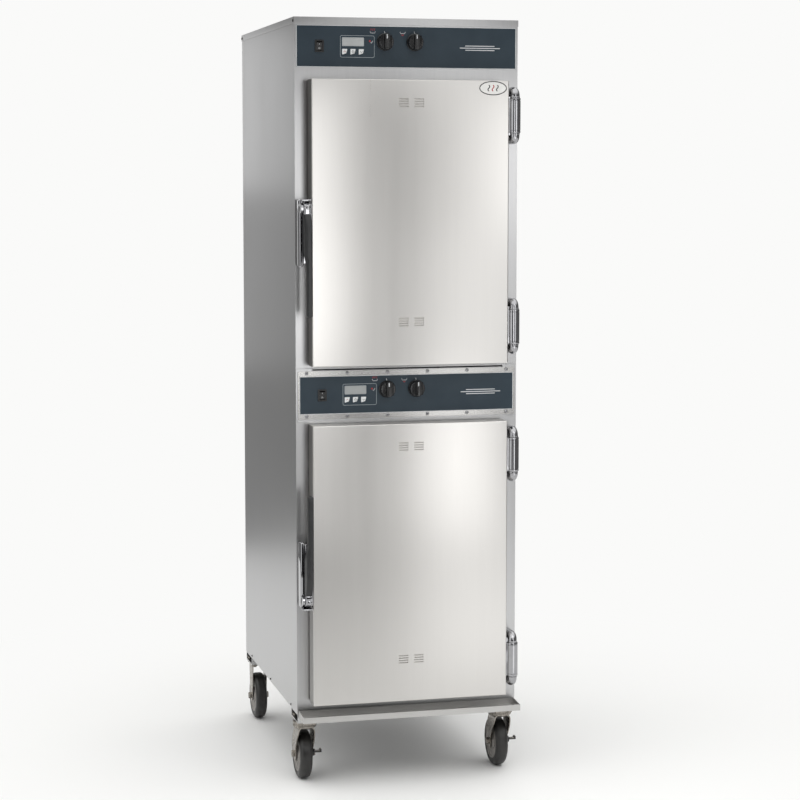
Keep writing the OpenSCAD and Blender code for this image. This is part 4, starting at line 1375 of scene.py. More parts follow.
@dataclass
class Door:
    """One door: a folded slab with vents, a raised inner panel, a seal and two chrome knuckles."""

    layout: Layout
    level: Level
    edge: float = 2.4 * MM
    slot_length: float = 25 * MM
    slot_height: float = 3 * MM
    slot_pitch: float = 6 * MM
    slots: int = 4
    group_gap: float = 14.5 * MM
    vent_top: float = 46 * MM
    vent_bottom: float = 98 * MM
    baffle: float = 4 * MM
    slot_edge: float = 1.3 * MM
    overcut: float = 6 * MM
    panel_margin: float = 30 * MM
    panel_depth: float = 8 * MM
    seal_width: float = 14 * MM
    knuckle_length: float = 87 * MM
    knuckle_radius: float = 14 * MM
    badge_line: float = 2.2 * MM
    badge_relief: float = 0.4 * MM

    @property
    def name(self) -> str:
        """The CAD body's name."""
        return f"{self.level.value}_door"

    def vents(self, start: float, stop: float) -> Surface:
        """Bars for the four groups of slots; a baffle inside the door closes them off behind.

        Args:
            start: where the slots begin along Y.
            stop: where they end.

        Returns:
            The bars.
        """
        low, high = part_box(self.name + "_skin")
        middle = (low.x + high.x) / 2
        group = (self.slots - 1) * self.slot_pitch + self.slot_height
        bars = []
        for x in (middle - self.group_gap / 2 - self.slot_length, middle + self.group_gap / 2):
            for z in (low.z + self.vent_bottom, high.z - self.vent_top - group):
                for k in range(self.slots):
                    foot = z + k * self.slot_pitch
                    end = (x + self.slot_length, stop, foot + self.slot_height)
                    bars.append(rounded_box((x, start, foot), end, self.slot_edge, 3))
        return joined(bars)

    def build(self) -> None:
        """Makes the slab and the inner panel, both open at the vents."""
        name, margin = self.name, self.panel_margin
        low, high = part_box(name + "_skin")
        _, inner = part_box(name + "_inner")
        slab = rounded_box(low, high, self.edge)
        panel = rounded_box(
            (low.x + margin, high.y - self.panel_depth, low.z + margin),
            (high.x - margin, inner.y, high.z - margin),
            3 * MM,
        )
        for title, shape, finish, node, start, stop in (
            ("_slab", slab, DOOR_STEEL, "_skin", low.y - self.overcut, low.y + self.baffle),
            (
                "_inner_panel", panel, LINER_STEEL, "_inner",
                inner.y - self.baffle, inner.y + self.overcut,
            ),
        ):
            piece = add_piece(name + title, shape, finish, name, [name + node])
            cut(piece, self.vents(start, stop))
        self.seal()
        self.knuckles()

    def seal(self) -> None:
        """The seal: a squircle section with grooves, carried round a rounded rectangle.

        Across the section's faces, at x of its half width a, a groove of 0.09 (1 + cos(3 pi x / a))
        of the depth is taken off.
        """
        name = self.name
        low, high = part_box(name + "_gasket")
        mid_x, mid_y, mid_z = ((a + b) / 2 for a, b in zip(low, high))
        width, depth = self.seal_width, high.y - low.y
        loop = rounded_loop(high.x - low.x - width, high.z - low.z - width, 9 * MM, 8)
        path = np.stack([loop[:, 0] + mid_x, np.full(len(loop), mid_y), loop[:, 1] + mid_z], 1)
        section = squircle(width / 2, depth / 2, 3.5, 40)
        groove = 0.09 * depth * (1 + np.cos(section[:, 0] / (width / 2) * 3 * math.pi))
        section[:, 1] -= np.sign(section[:, 1]) * groove * (np.abs(section[:, 0]) < 0.42 * width)
        shape = swept(path, section, (0, 1, 0), closed=True)
        add_piece(name + "_seal", shape, SEAL_SILICONE, name, [name + "_gasket"])

    def knuckle(self, middle: float) -> Surface:
        """A turned barrel with a groove near each end, and the leaf round the door's edge.

        Args:
            middle: height of the barrel's middle.

        Returns:
            The knuckle.
        """
        axis = self.layout.joint(self.name + "_hinge")
        radius, half = self.knuckle_radius, self.knuckle_length / 2
        rim, dip = 1.6 * MM, 0.7 * MM
        side = [
            (radius - rim, half), (radius - 0.45 * rim, half - 0.2 * rim), (radius, half - rim),
            (radius, half - 5.2 * MM), (radius - dip, half - 5.8 * MM),
            (radius - dip, half - 6.6 * MM), (radius, half - 7.2 * MM),
        ]
        profile = [(0, half), *side, *mirrored(side), (0, -half)]
        barrel = lathe(profile, 64).moved(axis.x, axis.y, middle)
        _, door_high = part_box(self.name + "_skin")
        arm = rounded_box(
            (door_high.x, axis.y - 3 * MM, middle - half + 1 * MM),
            (axis.x - radius / 2, axis.y + 6 * MM, middle + half - 1 * MM), 1.2 * MM,
        )
        leaf = rounded_box(
            (door_high.x, axis.y, middle - half),
            (door_high.x + 2 * MM, door_high.y - self.panel_depth, middle + half),
            0.7 * MM,
        )
        return joined([barrel, arm, leaf])

    def middles(self) -> tuple[float, float]:
        """Heights of the two hinges' middles."""
        low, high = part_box(self.name + "_knuckles")
        return (low.z + self.knuckle_length / 2, high.z - self.knuckle_length / 2)

    def knuckles(self) -> None:
        """Both knuckles as one piece on the door."""
        shape, node = joined(self.knuckle(z) for z in self.middles()), self.name + "_knuckles"
        add_piece(node + "_shown", shape, CHROME, self.name, [node])

    def dress(self) -> None:
        """Gives the upper door its oval badge with a rim and three vapour lines."""
        if self.level is Level.LOWER:
            return
        low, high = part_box("door_badge")
        mid_x, _, mid_z = ((a + b) / 2 for a, b in zip(low, high))
        wide, tall = (high.x - low.x) / 2, (high.z - low.z) / 2
        oval = plate(squircle(wide, tall, 2.0, 72), high.y - low.y)
        loop = squircle(wide - 1.6 * MM, tall - 1.6 * MM, 2.0, 72)
        rim = raised_line(loop, self.badge_line, self.badge_relief, True)
        t = np.linspace(-1, 1, 17)
        left, centre, right = (
            raised_line(
                pairs(k * 11 * MM + 2.2 * MM * np.sin(t * math.pi), 7.5 * MM * t),
                2.4 * MM,
                self.badge_relief,
            )
            for k in (-1, 0, 1)
        )
        for name, shape, finish, y, replaced in (
            ("door_badge_shown", oval, BADGE_ENAMEL, high.y, ["door_badge"]),
            ("badge_rim_line", rim, DARK_INK, low.y, []),
            ("badge_vapour_lines", joined([left, right]), DARK_INK, low.y, []),
            ("badge_middle_line", centre, RED_INK, low.y, []),
        ):
            shape = shape.moved(mid_x, y, mid_z)
            add_piece(name, shape, finish, self.name, replaced)


@dataclass
class HingeBrackets:
    """The four brackets on the front frame: a plate and two chrome elbows each."""

    layout: Layout
    doors: Sequence[Door]
    radius: float = 11.8 * MM
    bend: float = 12.2 * MM
    gap: float = 0.3 * MM
    reach: float = 71 * MM
    collar: tuple[float, float] = (0.7 * MM, 3.1 * MM)
    foot_thick: float = 3 * MM

    def elbow(self, axis: Vector, middle: float, side: int) -> Surface:
        """A round bar that rises from the knuckle and bends back to the plate.

        Its path is a straight rise, a quarter circle of the bend's radius, and a straight run.

        Args:
            axis: a point on the hinge's axis.
            middle: height of the knuckle's middle.
            side: 1 for the elbow above it, -1 for the one below.

        Returns:
            The elbow with its collar.
        """
        start = self.doors[0].knuckle_length / 2 + self.gap
        crest = self.reach - self.radius
        a = np.linspace(0, math.pi / 2, 10)
        end = self.layout.front - 1 * MM - axis.y
        y = np.concatenate([[0.0], self.bend * (1 - np.cos(a)), [end]])
        z = np.concatenate([[start], crest - self.bend + self.bend * np.sin(a), [crest]])
        path = np.stack([np.full(len(y), axis.x), axis.y + y, middle + side * z], 1)
        shape = swept(path, squircle(self.radius, self.radius, 2.0, 40), (1, 0, 0))
        proud, tall = self.collar
        wide = self.radius + proud
        collar = lathe(
            [
                (0, 0), (self.radius, 0), (wide, proud), (wide, tall - proud),
                (self.radius, tall), (0, tall),
            ]
        )
        if side < 0:
            collar = collar.turned(180, "X")
        return joined([shape, collar.moved(axis.x, axis.y, middle + side * start)])

    def build(self) -> None:
        """Makes all the elbows and plates as one piece."""
        loop = rounded_loop(2 * self.radius, 2 * self.reach - 3 * MM, 0.96 * self.radius)
        foot = plate(loop, self.foot_thick)
        shapes = []
        for door in self.doors:
            axis = self.layout.joint(door.name + "_hinge")
            for middle in door.middles():
                shapes += [self.elbow(axis, middle, side) for side in (-1, 1)]
                shapes.append(foot.moved(axis.x, self.layout.front, middle))
        elbows = joined(shapes)
        add_piece("hinge_elbows", elbows, CHROME, "cabinet", ["hinge_brackets"])


# ---------------------------------------------------------------- latches


@dataclass
class Latch:
    """A pull latch on a door's free edge: chrome housing, chrome root and a black grip.

    It is drawn with its grip downwards, across from the casing's left side, out from the front
    frame and up from its pivot. The lower door's latch is the same one upside down.
    """

    layout: Layout
    level: Level
    out: float = -55 * MM
    housing_left: float = 2 * MM
    housing_wide: float = 11 * MM
    housing_long: float = 145 * MM
    housing_face: float = -42 * MM
    ear: float = 6.5 * MM
    root_left: float = 8.8 * MM
    root_right: float = 27.3 * MM
    housing_back: float = -3.5 * MM
    door_face: float = -14 * MM
    flange_left: float = 27.6 * MM
    flange_right: float = 30 * MM
    flange_screws: tuple[float, float] = (-120 * MM, -70 * MM)
    ear_radius: float = 12 * MM
    drum_radius: float = 15.5 * MM
    drum_edge: float = 5 * MM
    boss_radius: float = 7.6 * MM
    boss_height: float = 4.6 * MM
    pin_radius: float = 3.9 * MM
    pin_half: float = 10.4 * MM
    grip_start: float = 13.2 * MM
    grip_long: float = 268 * MM
    # Distances down the grip and, below them, where each face lies there, in millimetres
    front_line: tuple[tuple[float, ...], ...] = ((13, 34, 62, 268), (-70, -80, -86, -86))
    back_line: tuple[tuple[float, ...], ...] = (
        (13, 108, 124, 138, 160, 268), (-47.5, -50, -57, -66, -69.5, -69.5),
    )
    left_line: tuple[tuple[float, ...], ...] = ((13, 112, 132, 268), (9.0, 9.0, 12.8, 12.8))

    def placed(self, shape: Surface) -> Surface:
        """Puts a shape drawn in the latch's own axes at its door.

        Args:
            shape: the shape.

        Returns:
            The shape in the frame's axes.
        """
        pivot = self.layout.joint(f"{self.level.value}_latch_pivot")
        flip = 1.0 if self.level is Level.UPPER else -1.0
        base = np.array([self.layout.left, self.layout.front, pivot.z])
        return shape.mapped(lambda p: p * np.array([1.0, 1.0, flip]) + base)

    def housing(self) -> Surface:
        """The case with a raised rib, its ear and hood, and the bars that hold it to the door.

        Returns:
            The housing in the latch's own axes.
        """
        left, right = self.housing_left, self.housing_left + self.housing_wide
        face, back, door = self.housing_face, self.housing_back, self.door_face
        foot, out = -self.housing_long, self.out
        boxes = {
            "case": ((left, face, foot), (right, back, 22 * MM), 5.2 * MM, 6),
            "rib": (
                (left + 2.2 * MM, face, foot + 9 * MM),
                (right - 2.2 * MM, back - 4 * MM, 14 * MM), 3.0 * MM, 5,
            ),
            "neck": (
                (left, out, -11 * MM), (left + self.ear, face + 8 * MM, 11 * MM), 0.8 * MM,
            ),
            "hood": (
                (left + 0.5 * MM, out - 15 * MM, 17.6 * MM),
                (27.5 * MM, door, 22 * MM), 2.1 * MM, 5,
            ),
            "bridge": (
                (left + 2 * MM, -24 * MM, foot + 8 * MM), (29.7 * MM, door, 18 * MM), 1.5 * MM,
            ),
            "flange": (
                (self.flange_left, -60 * MM, foot + 8 * MM),
                (self.flange_right, door, 12 * MM), 0.9 * MM,
            ),
        }
        case, rib, *rest = (rounded_box(*sizes) for sizes in boxes.values())
        chamfer, radius = 0.8 * MM, self.ear_radius
        ear = lathe(
            [
                (0, 0), (radius - chamfer, 0), (radius, chamfer), (radius, self.ear - chamfer),
                (radius - chamfer, self.ear), (0, self.ear),
            ]
        )
        return joined([case, rib, ear.turned(90, "Y").moved(left, out, 0), *rest])

    def root(self) -> Surface:
        """The chrome drum that turns on the pin, the block under it, and its domed boss.

        Returns:
            The root in the latch's own axes.
        """
        middle = (self.root_left + self.root_right) / 2
        half = (self.root_right - self.root_left) / 2
        a = np.linspace(0, math.pi / 2, 7)
        edge, inner = self.drum_edge, self.drum_radius - self.drum_edge
        side = pairs(inner + edge * np.cos(a), half - edge + edge * np.sin(a))[::-1]
        drum = lathe([(0.0, half), *side, *mirrored(side), (0.0, -half)], 56)
        block = rounded_box(
            (self.root_left, self.out - 16 * MM, -16 * MM),
            (self.root_right, self.out + 7.5 * MM, 2 * MM),
            4 * MM,
            6,
        )
        wide, tall, pin, reach = self.boss_radius, self.boss_height, self.pin_radius, self.pin_half
        a = np.linspace(0.2, 1.45, 8)
        dome = [(0.0, tall), *pairs(wide * np.sin(a), tall * np.cos(a) ** 1.4)]
        boss = lathe([*dome, (wide, -3 * MM), (0, -3 * MM)], 40).turned(90, "X")
        pivot = lathe([(0, -reach), (pin, -reach), (pin, reach), (0, reach)], 24)
        return joined(
            [
                drum.turned(90, "Y").moved(middle, self.out, 0),
                block,
                boss.moved(middle, self.out - 13 * MM, 2 * MM),
                pivot.turned(90, "Y").moved(middle, self.out, 0),
            ]
        )

    def grip(self) -> Surface:
        """The grip: a rounded section whose faces follow smooth curves down its length.

        At the height z the front runs out from the root and then straight down, the back steps
        in below the housing, and the left side steps in with it. Both ends close over a quarter
        circle.

        Returns:
            The grip.
        """
        end, blend = 7 * MM, np.ones(5) / 5
        z = -self.grip_start - (self.grip_long - self.grip_start) * np.linspace(0, 1, 90)
        front, back, left = (
            np.convolve(np.pad(np.interp(-z / MM, *line) * MM, 2, "edge"), blend, "valid")
            for line in (self.front_line, self.back_line, self.left_line)
        )
        right = np.full(len(z), self.root_right - 0.1 * MM)
        near = np.minimum(np.abs(z - z[0]) + 4 * MM, np.abs(z - z[-1]))
        close = np.sqrt(np.clip(1 - (1 - np.clip(near / end, 0, 1)) ** 2, 0.0, 1))
        unit = squircle(1.0, 1.0, 4.2, 40)
        points = np.stack(
            [
                ((left + right) / 2)[:, None] + ((right - left) / 2 * close)[:, None] * unit[:, 0],
                ((front + back) / 2)[:, None] + ((back - front) / 2 * close)[:, None] * unit[:, 1],
                z[:, None] + 0 * unit[:, 0],
            ],
            -1,
        )
        return Surface(points.reshape(-1, 3), capped_grid(len(z), len(unit)))

    def build(self) -> None:
        """Makes the housing on the door, and the root and grip on the lever's body."""
        name = self.level.value
        door, lever = f"{name}_door", f"{name}_latch"
        for title, shape, finish, body, slot, node in (
            ("case", self.housing(), CHROME, door, "chrome_plate", "housing"),
            ("root", self.root(), CHROME, lever, "chrome_plate", "lever"),
            ("handgrip", self.grip(), GRIP_NYLON, lever, "grip_plastic", "grip"),
        ):
            replaced = [f"{name}_latch_{node}"]
            add_piece(f"{name}_latch_{title}", self.placed(shape), finish, body, replaced)

    def dress(self) -> None:
        """Adds the two screws that hold the housing's flange to the door's edge."""
        name = self.level.value
        head = screw_head(3.2 * MM, 1.4 * MM).turned(-90, "Y")
        heads = joined(head.moved(self.flange_left, -34 * MM, z) for z in self.flange_screws)
        add_piece(
            f"{name}_latch_screws", self.placed(heads), ZINC_PLATE, f"{name}_door"
        )


# ---------------------------------------------------------------- casters


@dataclass
class Caster:
    """One caster: a wheel with a bonded tread in a bent yoke."""

    layout: Layout
    wheel: str
    roller: str
    holder: str
    swivels: bool
    leg: float = 3 * MM
    gap: float = 18 * MM
    shoulder: float = 11 * MM
    # Steps of the tread's wall and of the hub, each as far in from the wheel's radius and from
    # the side of the tread, in millimetres
    wall_steps: tuple[tuple[float, float], ...] = ((13, 0), (13.6, 1), (18, 1.2), (18.6, 2.4))
    hub_steps: tuple[tuple[float, float], ...] = (
        (18.4, 0.8), (21.5, 0.8), (23, 3), (34, 4.2), (40, 3.8), (42.5, 1.4), (43.5, 0.2),
        (48, 0.2), (49, 1),
    )
    bolt: float = 6.2 * MM
    ribs: int = 10
    wheel_turns: int = 96
    crest_reach: float = 29 * MM
    bow: float = 2.6 * MM
    ring_radius: float = 29.6 * MM
    ring_hole: float = 7 * MM
    ring_drop: float = 9.5 * MM
    # Radius and height of the ring's two rims, in millimetres
    rims: tuple[tuple[float, float], ...] = (
        (29.6, 0.4), (30.3, 1.4), (30.3, 3.0), (29.4, 3.9), (29.4, 4.6), (29.8, 5.4), (29, 5.8),
    )
    plate_half: tuple[float, float] = (25 * MM, 40 * MM)
    tip_curl: float = 6.4 * MM
    tip_long: float = 15.6 * MM

    def tread(self, radius: float, half: float) -> Surface:
        """The tread's turned section: a flat face, rounded shoulders and a stepped sidewall.

        Args:
            radius: radius of the wheel.
            half: half its width.

        Returns:
            The tread about the Z axis.
        """
        a = np.linspace(0, math.pi / 2, 9)
        bend = self.shoulder
        side = pairs(radius - bend + bend * np.cos(a), half - bend + bend * np.sin(a))
        side += [(radius - r * MM, half - h * MM) for r, h in self.wall_steps]
        return lathe([*mirrored(side), *side, (side[-1][0], -side[-1][1])], self.wheel_turns)

    def hub(self, radius: float, half: float) -> Surface:
        """The hub's turned section: a rim, a dished web with a step, and a boss.

        Args:
            radius: radius of the wheel.
            half: half its width.

        Returns:
            The hub about the Z axis, with short ribs on both faces of its web.
        """
        side = [(radius - r * MM, half - h * MM) for r, h in self.hub_steps]
        side.append((self.bolt, half - 1 * MM))
        dish = lathe([(side[0][0], -side[0][1]), *side, *mirrored(side)], self.wheel_turns)
        rib = rounded_box(
            (20 * MM, -1.1 * MM, half - 9 * MM),
            (radius - 22.3 * MM, 1.1 * MM, half - 3.0 * MM),
            0.8 * MM,
            2,
        )
        both = joined([rib, rib.turned(180, "X")])
        return joined([dish, *(both.turned(360 / self.ribs * k, "Z") for k in range(self.ribs))])

    def yoke(self, wheel: Vector, head: Vector, top: float) -> Surface:
        """A strip bent into an arch over the wheel.

        The arch's middle line is a straight leg, a quarter circle, the flat crown and the same
        again. Across, the strip narrows from the crown to the bolt and leans back with the
        trail, and its ends are half circles round the bolt. A swivelling yoke's legs bow
        outwards by half a sine of their height, and the rims of its strip are turned out.

        Args:
            wheel: the wheel's middle.
            head: a point on the swivel's axis.
            top: height of the arch's upper face.

        Returns:
            The yoke.
        """
        t, bend = self.leg, 11 * MM if self.swivels else 5 * MM
        line, crest, foot = self.gap + t / 2, top - t / 2, wheel.z
        narrow = 19 * MM if self.swivels else 15 * MM
        drop = np.linspace(foot - narrow + 0.1 * MM, foot + 14 * MM, 13)
        leg = np.concatenate([drop, np.linspace(foot + 16 * MM, crest - bend, 12)])
        a = np.linspace(0, math.pi / 2, 8)[1:]
        x = np.concatenate([np.full(len(leg), line), line - bend + bend * np.cos(a)])
        z = np.concatenate([leg, crest - bend + bend * np.sin(a)])
        nx = np.concatenate([np.ones(len(leg)), np.cos(a)])
        nz = np.concatenate([np.zeros(len(leg)), np.sin(a)])
        x, nx = (np.concatenate([row, -row[::-1]]) for row in (x, nx))
        z, nz = (np.concatenate([row, row[::-1]]) for row in (z, nz))
        lift = np.clip((z - foot) / (crest - foot), 0, 1)
        lean = (3 * lift**2 - 2 * lift**3) if self.swivels else lift
        centre = wheel.y + (head.y - wheel.y) * lean
        half_sine = np.sin(math.pi * np.clip(lift, 0, 0.9) / 0.9)
        bow = self.bow * half_sine * np.sign(x) * self.swivels
        widening = np.sqrt(lean) if self.swivels else lift**0.7
        reach = narrow + (self.crest_reach - narrow) * widening
        round_end = np.sqrt(np.clip(narrow**2 - (z - foot) ** 2, (1 * MM) ** 2, None))
        reach = np.where(z < foot, round_end, reach)
        corner = squircle(1.0, 1.0, 5.0, 36)
        rim = 1 + 1.3 * (corner[:, 0] > 0) * np.abs(corner[:, 1]) ** 8 * self.swivels
        off, wide = corner[:, 0] * rim * t / 2, corner[:, 1]
        points = np.stack(
            [
                wheel.x + (x + bow)[:, None] + nx[:, None] * off,
                centre[:, None] + reach[:, None] * wide,
                z[:, None] + nz[:, None] * off,
            ],
            -1,
        )
        return Surface(points.reshape(-1, 3), capped_grid(len(x), len(corner)))

    def crown(self, head: Vector, top: float) -> Surface:
        """The turned ring on a swivel yoke that the balls run under.

        Args:
            head: a point on the swivel's axis.
            top: height of the ring's upper face.

        Returns:
            The ring.
        """
        a = np.linspace(0.15, math.pi / 2, 9)
        dome = pairs(self.ring_radius * np.sin(a), -self.ring_drop * np.cos(a))
        rims = [(r * MM, h * MM) for r, h in self.rims]
        hole, tall = self.ring_hole, rims[-1][1]
        ring = [(hole, 0), *(d for d in dome if d[0] > 20 * MM), *rims, (hole, tall), (hole, 0)]
        return lathe(ring, 72).moved(head.x, head.y, top - tall)

    def build(self) -> None:
        """Makes the tread and hub on the roller's body, and the yoke of a swivelling caster."""
        low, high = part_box(self.wheel)
        centre = (low + high) / 2
        size = (high.z - low.z) / 2, (high.x - low.x) / 2
        for name, shape, finish, replaced in (
            ("_tread", self.tread(*size), TREAD_RUBBER, [self.wheel]),
            ("_hub", self.hub(*size), HUB_POLYOLEFIN, []),
        ):
            shape = shape.turned(90, "Y").moved(*centre)
            add_piece(self.wheel + name, shape, finish, self.roller, replaced)
        if not self.swivels:
            return
        fork = self.wheel.replace("wheel", "fork")
        _, fork_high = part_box(fork)
        head = self.layout.joint(self.wheel.split("_")[1] + "_swivel_turn")
        arch = self.yoke(centre, head, fork_high.z - 4 * MM)
        shape = joined([arch, self.crown(head, fork_high.z)])
        add_piece(fork + "_yoke", shape, ZINC_PLATE, self.holder, [fork])

    def dress(self) -> None:
        """Rounds the bolt and the brake lever, and gives the lever a steel tip.

        Along the tip u runs from 0 to 1. It goes out by a quarter sine and curls up by u^3.
        """
        if not self.swivels:
            return
        side = self.wheel.split("_")[1]
        axle, brake, body = f"front_{side}_axle", f"front_{side}_brake", f"{side}_brake"
        frame = self.layout.frame
        softened_node(frame, axle, ZINC_PLATE, self.holder, 0.9 * MM)
        softened_node(frame, brake, GRIP_NYLON, body, 0.8 * MM)
        low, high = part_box(brake)
        u = np.linspace(0, 1, 14)
        x = high.x - 17 * MM + self.tip_long * np.sin(u * math.pi / 2)
        z = high.z - 6.2 * MM + self.tip_curl * u**3
        path = np.stack([x, np.full(len(u), low.y + 7 * MM), z], 1)
        tip = swept(path, rounded_loop(2.4 * MM, 13 * MM, 1.0 * MM, 3), (0, 1, 0))
        add_piece(brake + "_tip", tip, ZINC_PLATE, body)


def rear_yokes(casters: Sequence[Caster]) -> None:
    """Makes both rigid yokes as one piece, each with the flat plate under the casing.

    Args:
        casters: the rear casters.
    """
    shapes = []
    for caster in casters:
        low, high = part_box(caster.wheel)
        centre = (low + high) / 2
        _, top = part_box("rear_forks")
        shapes.append(caster.yoke(centre, centre, top.z))
        wide, deep = caster.plate_half
        foot = (centre.x - wide, centre.y - deep, top.z - caster.leg)
        shapes.append(rounded_box(foot, (centre.x + wide, centre.y + deep, top.z), 1.0 * MM))
    add_piece("rear_yokes", joined(shapes), ZINC_PLATE, "cabinet", ["rear_forks"])


# ---------------------------------------------------------------- the rest


@dataclass
class Fittings:
    """The drip tray, the linings, racks, shelves and hidden parts, shown by their CAD nodes."""

    layout: Layout

    def build(self) -> None:
        """Shows the small pressed parts with softened edges."""
        for node, finish, body, slot, width in (
            ("front_drip_tray", TRAY_STEEL, "drip_tray", "casing_steel", 0.5 * MM),
            ("switch_housings", BLACK_ABS, "cabinet", "switch_plastic", 0.6 * MM),
            ("latch_strikes", DOOR_STEEL, "cabinet", "door_steel", 0.8 * MM),
            ("front_caster_plates", ZINC_PLATE, "cabinet", "zinc_steel", 0.8 * MM),
        ):
            softened_node(self.layout.frame, node, finish, body, width)

    def dress(self) -> None:
        """Gives every CAD node that is still shown its finish."""
        finishes = {
            "upper_liner": LINER_STEEL, "lower_liner": LINER_STEEL, "drip_pans": LINER_STEEL,
            "side_racks": RACK_WIRE, "upper_shelves": RACK_WIRE, "lower_shelves": RACK_WIRE,
            "insulation": WOOL, "upper_door_core": WOOL, "lower_door_core": WOOL,
            "heating_cables": CABLE_SILICONE, "control_overlays": SLATE_FILM,
            "thermostats": CAST_CASE, "caster_bolts": ZINC_PLATE,
        }
        for node, finish in finishes.items():
            mesh = self.layout.frame["nodes"][node].data
            mesh.materials.clear()
            mesh.materials.append(finish.material())
            LOG.info("%s: %s", node, finish.name)


# ---------------------------------------------------------------- studio


@dataclass(frozen=True)
class Panel:
    """One soft panel of light: where it hangs, what it faces, its size and its power in watts."""

    place: tuple[float, float, float]
    aim: tuple[float, float, float]
    size: tuple[float, float]
    power: float


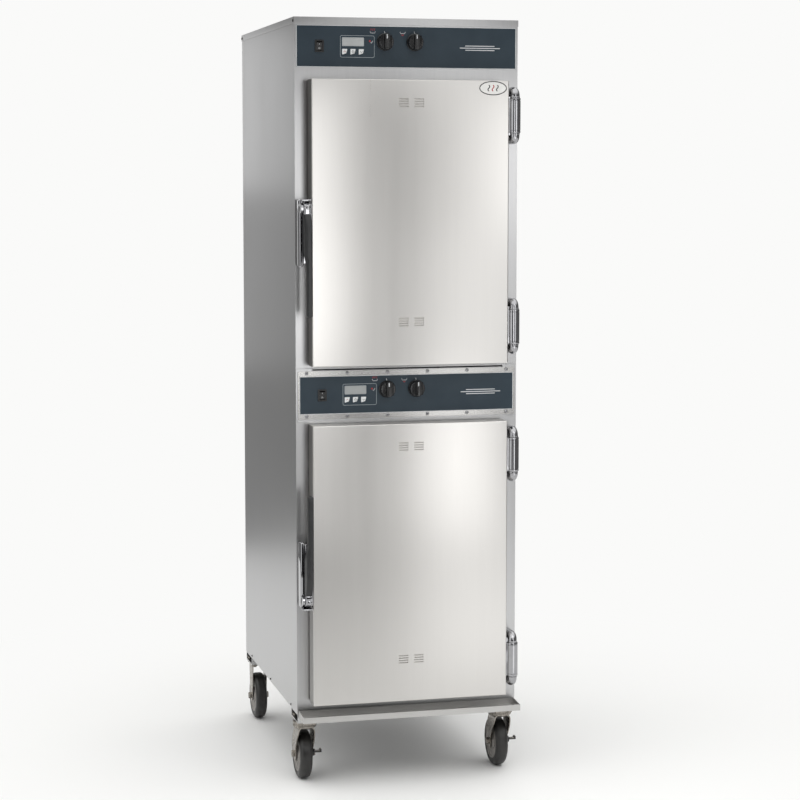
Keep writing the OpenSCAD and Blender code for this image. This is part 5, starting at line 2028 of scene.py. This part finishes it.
@dataclass
class Studio:
    """A pale floor, soft lights and the camera."""

    lens: float = 95.73
    yaw: float = 14.053
    pitch: float = 5.414
    place: tuple[float, float, float] = (-1.3126, -5.5086, 1.5400)
    shift: float = -0.03
    sky: str = "#FAFAF9"
    sky_strength: float = 0.200
    ceiling: float = 1.428
    ceiling_from: float = 0.3
    ceiling_full: float = 0.85
    # The sky falls to this share behind the camera, as the side of a studio where one stands
    camera_side: float = 0.12
    dark_angle: float = 14.0
    dark_edge: float = 42.0
    near: float = 0.6
    far: float = 1.8
    floor_radius: float = 3.2
    # Across, up and power of each small panel in front; the gaps are the doors' dark bands
    front_row: tuple[tuple[float, float, float], ...] = (
        (-0.1, 0.7, 0.39), (-0.1, 1.15, 1.07), (-0.1, 1.6, 0.89), (0.15, 2.05, 0.37),
        (0.4, 0.25, 0.32), (0.4, 0.7, 0.87), (0.4, 1.15, 0.51), (0.4, 1.6, 0.34),
        (0.4, 2.05, 0.49), (0.65, 0.25, 0.25), (0.65, 1.15, 0.4), (0.65, 1.6, 0.92),
    )
    front_distance: float = 1.4
    front_size: tuple[float, float] = (0.25, 0.45)
    large: tuple[Panel, ...] = (
        Panel((-0.75, 3.0, 0.4), (-0.3, 0, 1.0), (0.6, 0.7), 0.21),
        Panel((-0.75, 3.0, 1.1), (-0.3, 0, 1.0), (0.6, 0.7), 0.62),
        Panel((-0.75, 3.0, 1.8), (-0.3, 0, 1.0), (0.6, 0.7), 1.52),
        Panel((-3.0, -1.6, 1.3), (0.0, -0.3, 1.0), (2.2, 2.6), 18.0),
    )

    def floor(self) -> None:
        """A wide pale floor that fades into the white backdrop with distance.

        A point is (r cos a, r sin a, 0), with rings that draw apart outwards.
        """
        r = np.linspace(0.02, self.floor_radius, 8)[:, None]
        a = round_angles(64)
        points = round_points(r, a, 0 * r)
        mesh = bpy.data.meshes.new("studio_floor")
        mesh.from_pydata(points.tolist(), [], [tuple(range(64)), *grid_faces(len(r), 64)])
        finish = Finish("studio_paper_white", "#F2F2F1", 0.85)
        make_object("studio_floor", mesh, finish)
        tree = finish.material().node_tree
        place = add_node(tree, "ShaderNodeTexCoord")
        sockets = {0: place.outputs["Object"]}
        away = add_node(tree, "ShaderNodeVectorMath", sockets, operation="LENGTH")
        fade = self.eased(tree, away.outputs["Value"], (self.near, self.far), (0.0, 1.0))
        sockets = {"Color": hex_linear(self.sky), "Strength": 1.0}
        glow = add_node(tree, "ShaderNodeEmission", sockets).outputs["Emission"]
        paper = tree.nodes["Principled BSDF"].outputs["BSDF"]
        blend = add_node(tree, "ShaderNodeMixShader", {0: fade, 1: paper, 2: glow})
        tree.links.new(blend.outputs["Shader"], tree.nodes["Material Output"].inputs["Surface"])

    def eased(
        self,
        tree: bpy.types.NodeTree,
        value: bpy.types.NodeSocket,
        source: tuple[float, float],
        target: tuple[float, float],
    ) -> bpy.types.NodeSocket:
        """Maps one range to another along a smooth step.

        Args:
            tree: the node tree.
            value: what is mapped.
            source: the range that it is mapped from.
            target: the range that it is mapped to.

        Returns:
            The mapped value.
        """
        sockets = {"Value": value, "From Min": source[0], "From Max": source[1]}
        sockets.update({"To Min": target[0], "To Max": target[1]})
        step = add_node(tree, "ShaderNodeMapRange", sockets, interpolation_type="SMOOTHSTEP")
        return step.outputs["Result"]

    def light(self, name: str, panel: Panel) -> None:
        """Adds one soft panel of light that only shows in what it lights.

        Args:
            name: the lamp's name.
            panel: where it hangs, what it faces, its size and its power.
        """
        data = bpy.data.lights.new(name, "AREA")
        data.shape, data.energy = "RECTANGLE", panel.power
        data.size, data.size_y = panel.size
        lamp = bpy.data.objects.new(name, data)
        lamp.visible_camera = False
        bpy.context.scene.collection.objects.link(lamp)
        lamp.location = panel.place
        facing = Vector(panel.aim) - Vector(panel.place)
        lamp.rotation_euler = facing.to_track_quat("-Z", "Y").to_euler()

    def build(self) -> None:
        """Sets the floor, the sky and the camera.

        The sky brightens with height and darkens behind the camera; the camera itself sees
        even white.
        """
        self.floor()
        world = bpy.data.worlds.new("studio_sky")
        world.use_nodes = True
        bpy.context.scene.world = world
        tree = world.node_tree
        back = tree.nodes["Background"]
        back.inputs["Color"].default_value = hex_linear(self.sky)
        place = add_node(tree, "ShaderNodeTexCoord")
        height = add_node(tree, "ShaderNodeSeparateXYZ", {0: place.outputs["Generated"]})
        levels = (self.sky_strength, self.sky_strength + self.ceiling)
        rise = self.eased(
            tree, height.outputs["Z"], (self.ceiling_from, self.ceiling_full), levels
        )
        heading = math.radians(self.yaw)
        sockets = {0: place.outputs["Generated"], 1: (-math.sin(heading), -math.cos(heading), 0.0)}
        behind = add_node(tree, "ShaderNodeVectorMath", sockets, operation="DOT_PRODUCT")
        edges = (math.cos(math.radians(self.dark_edge)), math.cos(math.radians(self.dark_angle)))
        shade = self.eased(tree, behind.outputs["Value"], edges, (1.0, self.camera_side))
        shaded = add_node(tree, "ShaderNodeMath", {0: rise, 1: shade}, operation="MULTIPLY")
        tree.links.new(shaded.outputs["Value"], back.inputs["Strength"])
        sockets = {"Color": hex_linear(self.sky), "Strength": 1.0}
        paper = add_node(tree, "ShaderNodeBackground", sockets).outputs["Background"]
        seen = add_node(tree, "ShaderNodeLightPath").outputs["Is Camera Ray"]
        sockets = {0: seen, 1: back.outputs["Background"], 2: paper}
        both = add_node(tree, "ShaderNodeMixShader", sockets)
        tree.links.new(both.outputs["Shader"], tree.nodes["World Output"].inputs["Surface"])
        data = bpy.data.cameras.new("studio_camera")
        data.lens, data.sensor_width, data.shift_y = self.lens, 36.0, self.shift
        data.clip_end = 100.0
        camera = bpy.data.objects.new("studio_camera", data)
        bpy.context.scene.collection.objects.link(camera)
        camera.location = self.place
        camera.rotation_euler = (math.radians(90 - self.pitch), 0.0, math.radians(-self.yaw))
        bpy.context.scene.camera = camera

    def dress(self) -> None:
        """Hangs the panels: small ones in front, three behind and a large one on the left."""
        away, aim = -self.front_distance, -self.front_distance + 1
        small = [
            Panel((x, away, z), (x, aim, z), self.front_size, power)
            for x, z, power in self.front_row
        ]
        for row, panel in enumerate([*small, *self.large]):
            self.light(f"soft_panel_{row}", panel)
        bpy.context.scene.view_settings.view_transform = "Standard"


def main() -> None:
    """Builds the cabinet piece by piece."""
    logging.basicConfig(level=logging.INFO, format="%(name)s: %(message)s")
    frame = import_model()
    layout = Layout.read(frame)
    doors = [Door(layout, level) for level in Level]
    front, rear = (
        [
            Caster(layout, f"{end}_{side}_wheel", f"{end}_{side}_roller", holder, swivels)
            for side, holder in zip(("left", "right"), holders)
        ]
        for end, holders, swivels in (
            ("front", ("left_swivel", "right_swivel"), True),
            ("rear", ("cabinet", "cabinet"), False),
        )
    )
    parts = [
        Casing(layout), *doors, *[ControlPanel(layout, level) for level in Level],
        *[Latch(layout, level) for level in Level], *front, *rear, Fittings(layout), Studio(),
    ]
    HingeBrackets(layout, doors).build()
    rear_yokes(rear)
    for part in parts:
        part.build()
        part.dress()
        LOG.info("%s done", type(part).__name__)
    bpy.context.view_layer.update()


if __name__ == "__main__":
    main()
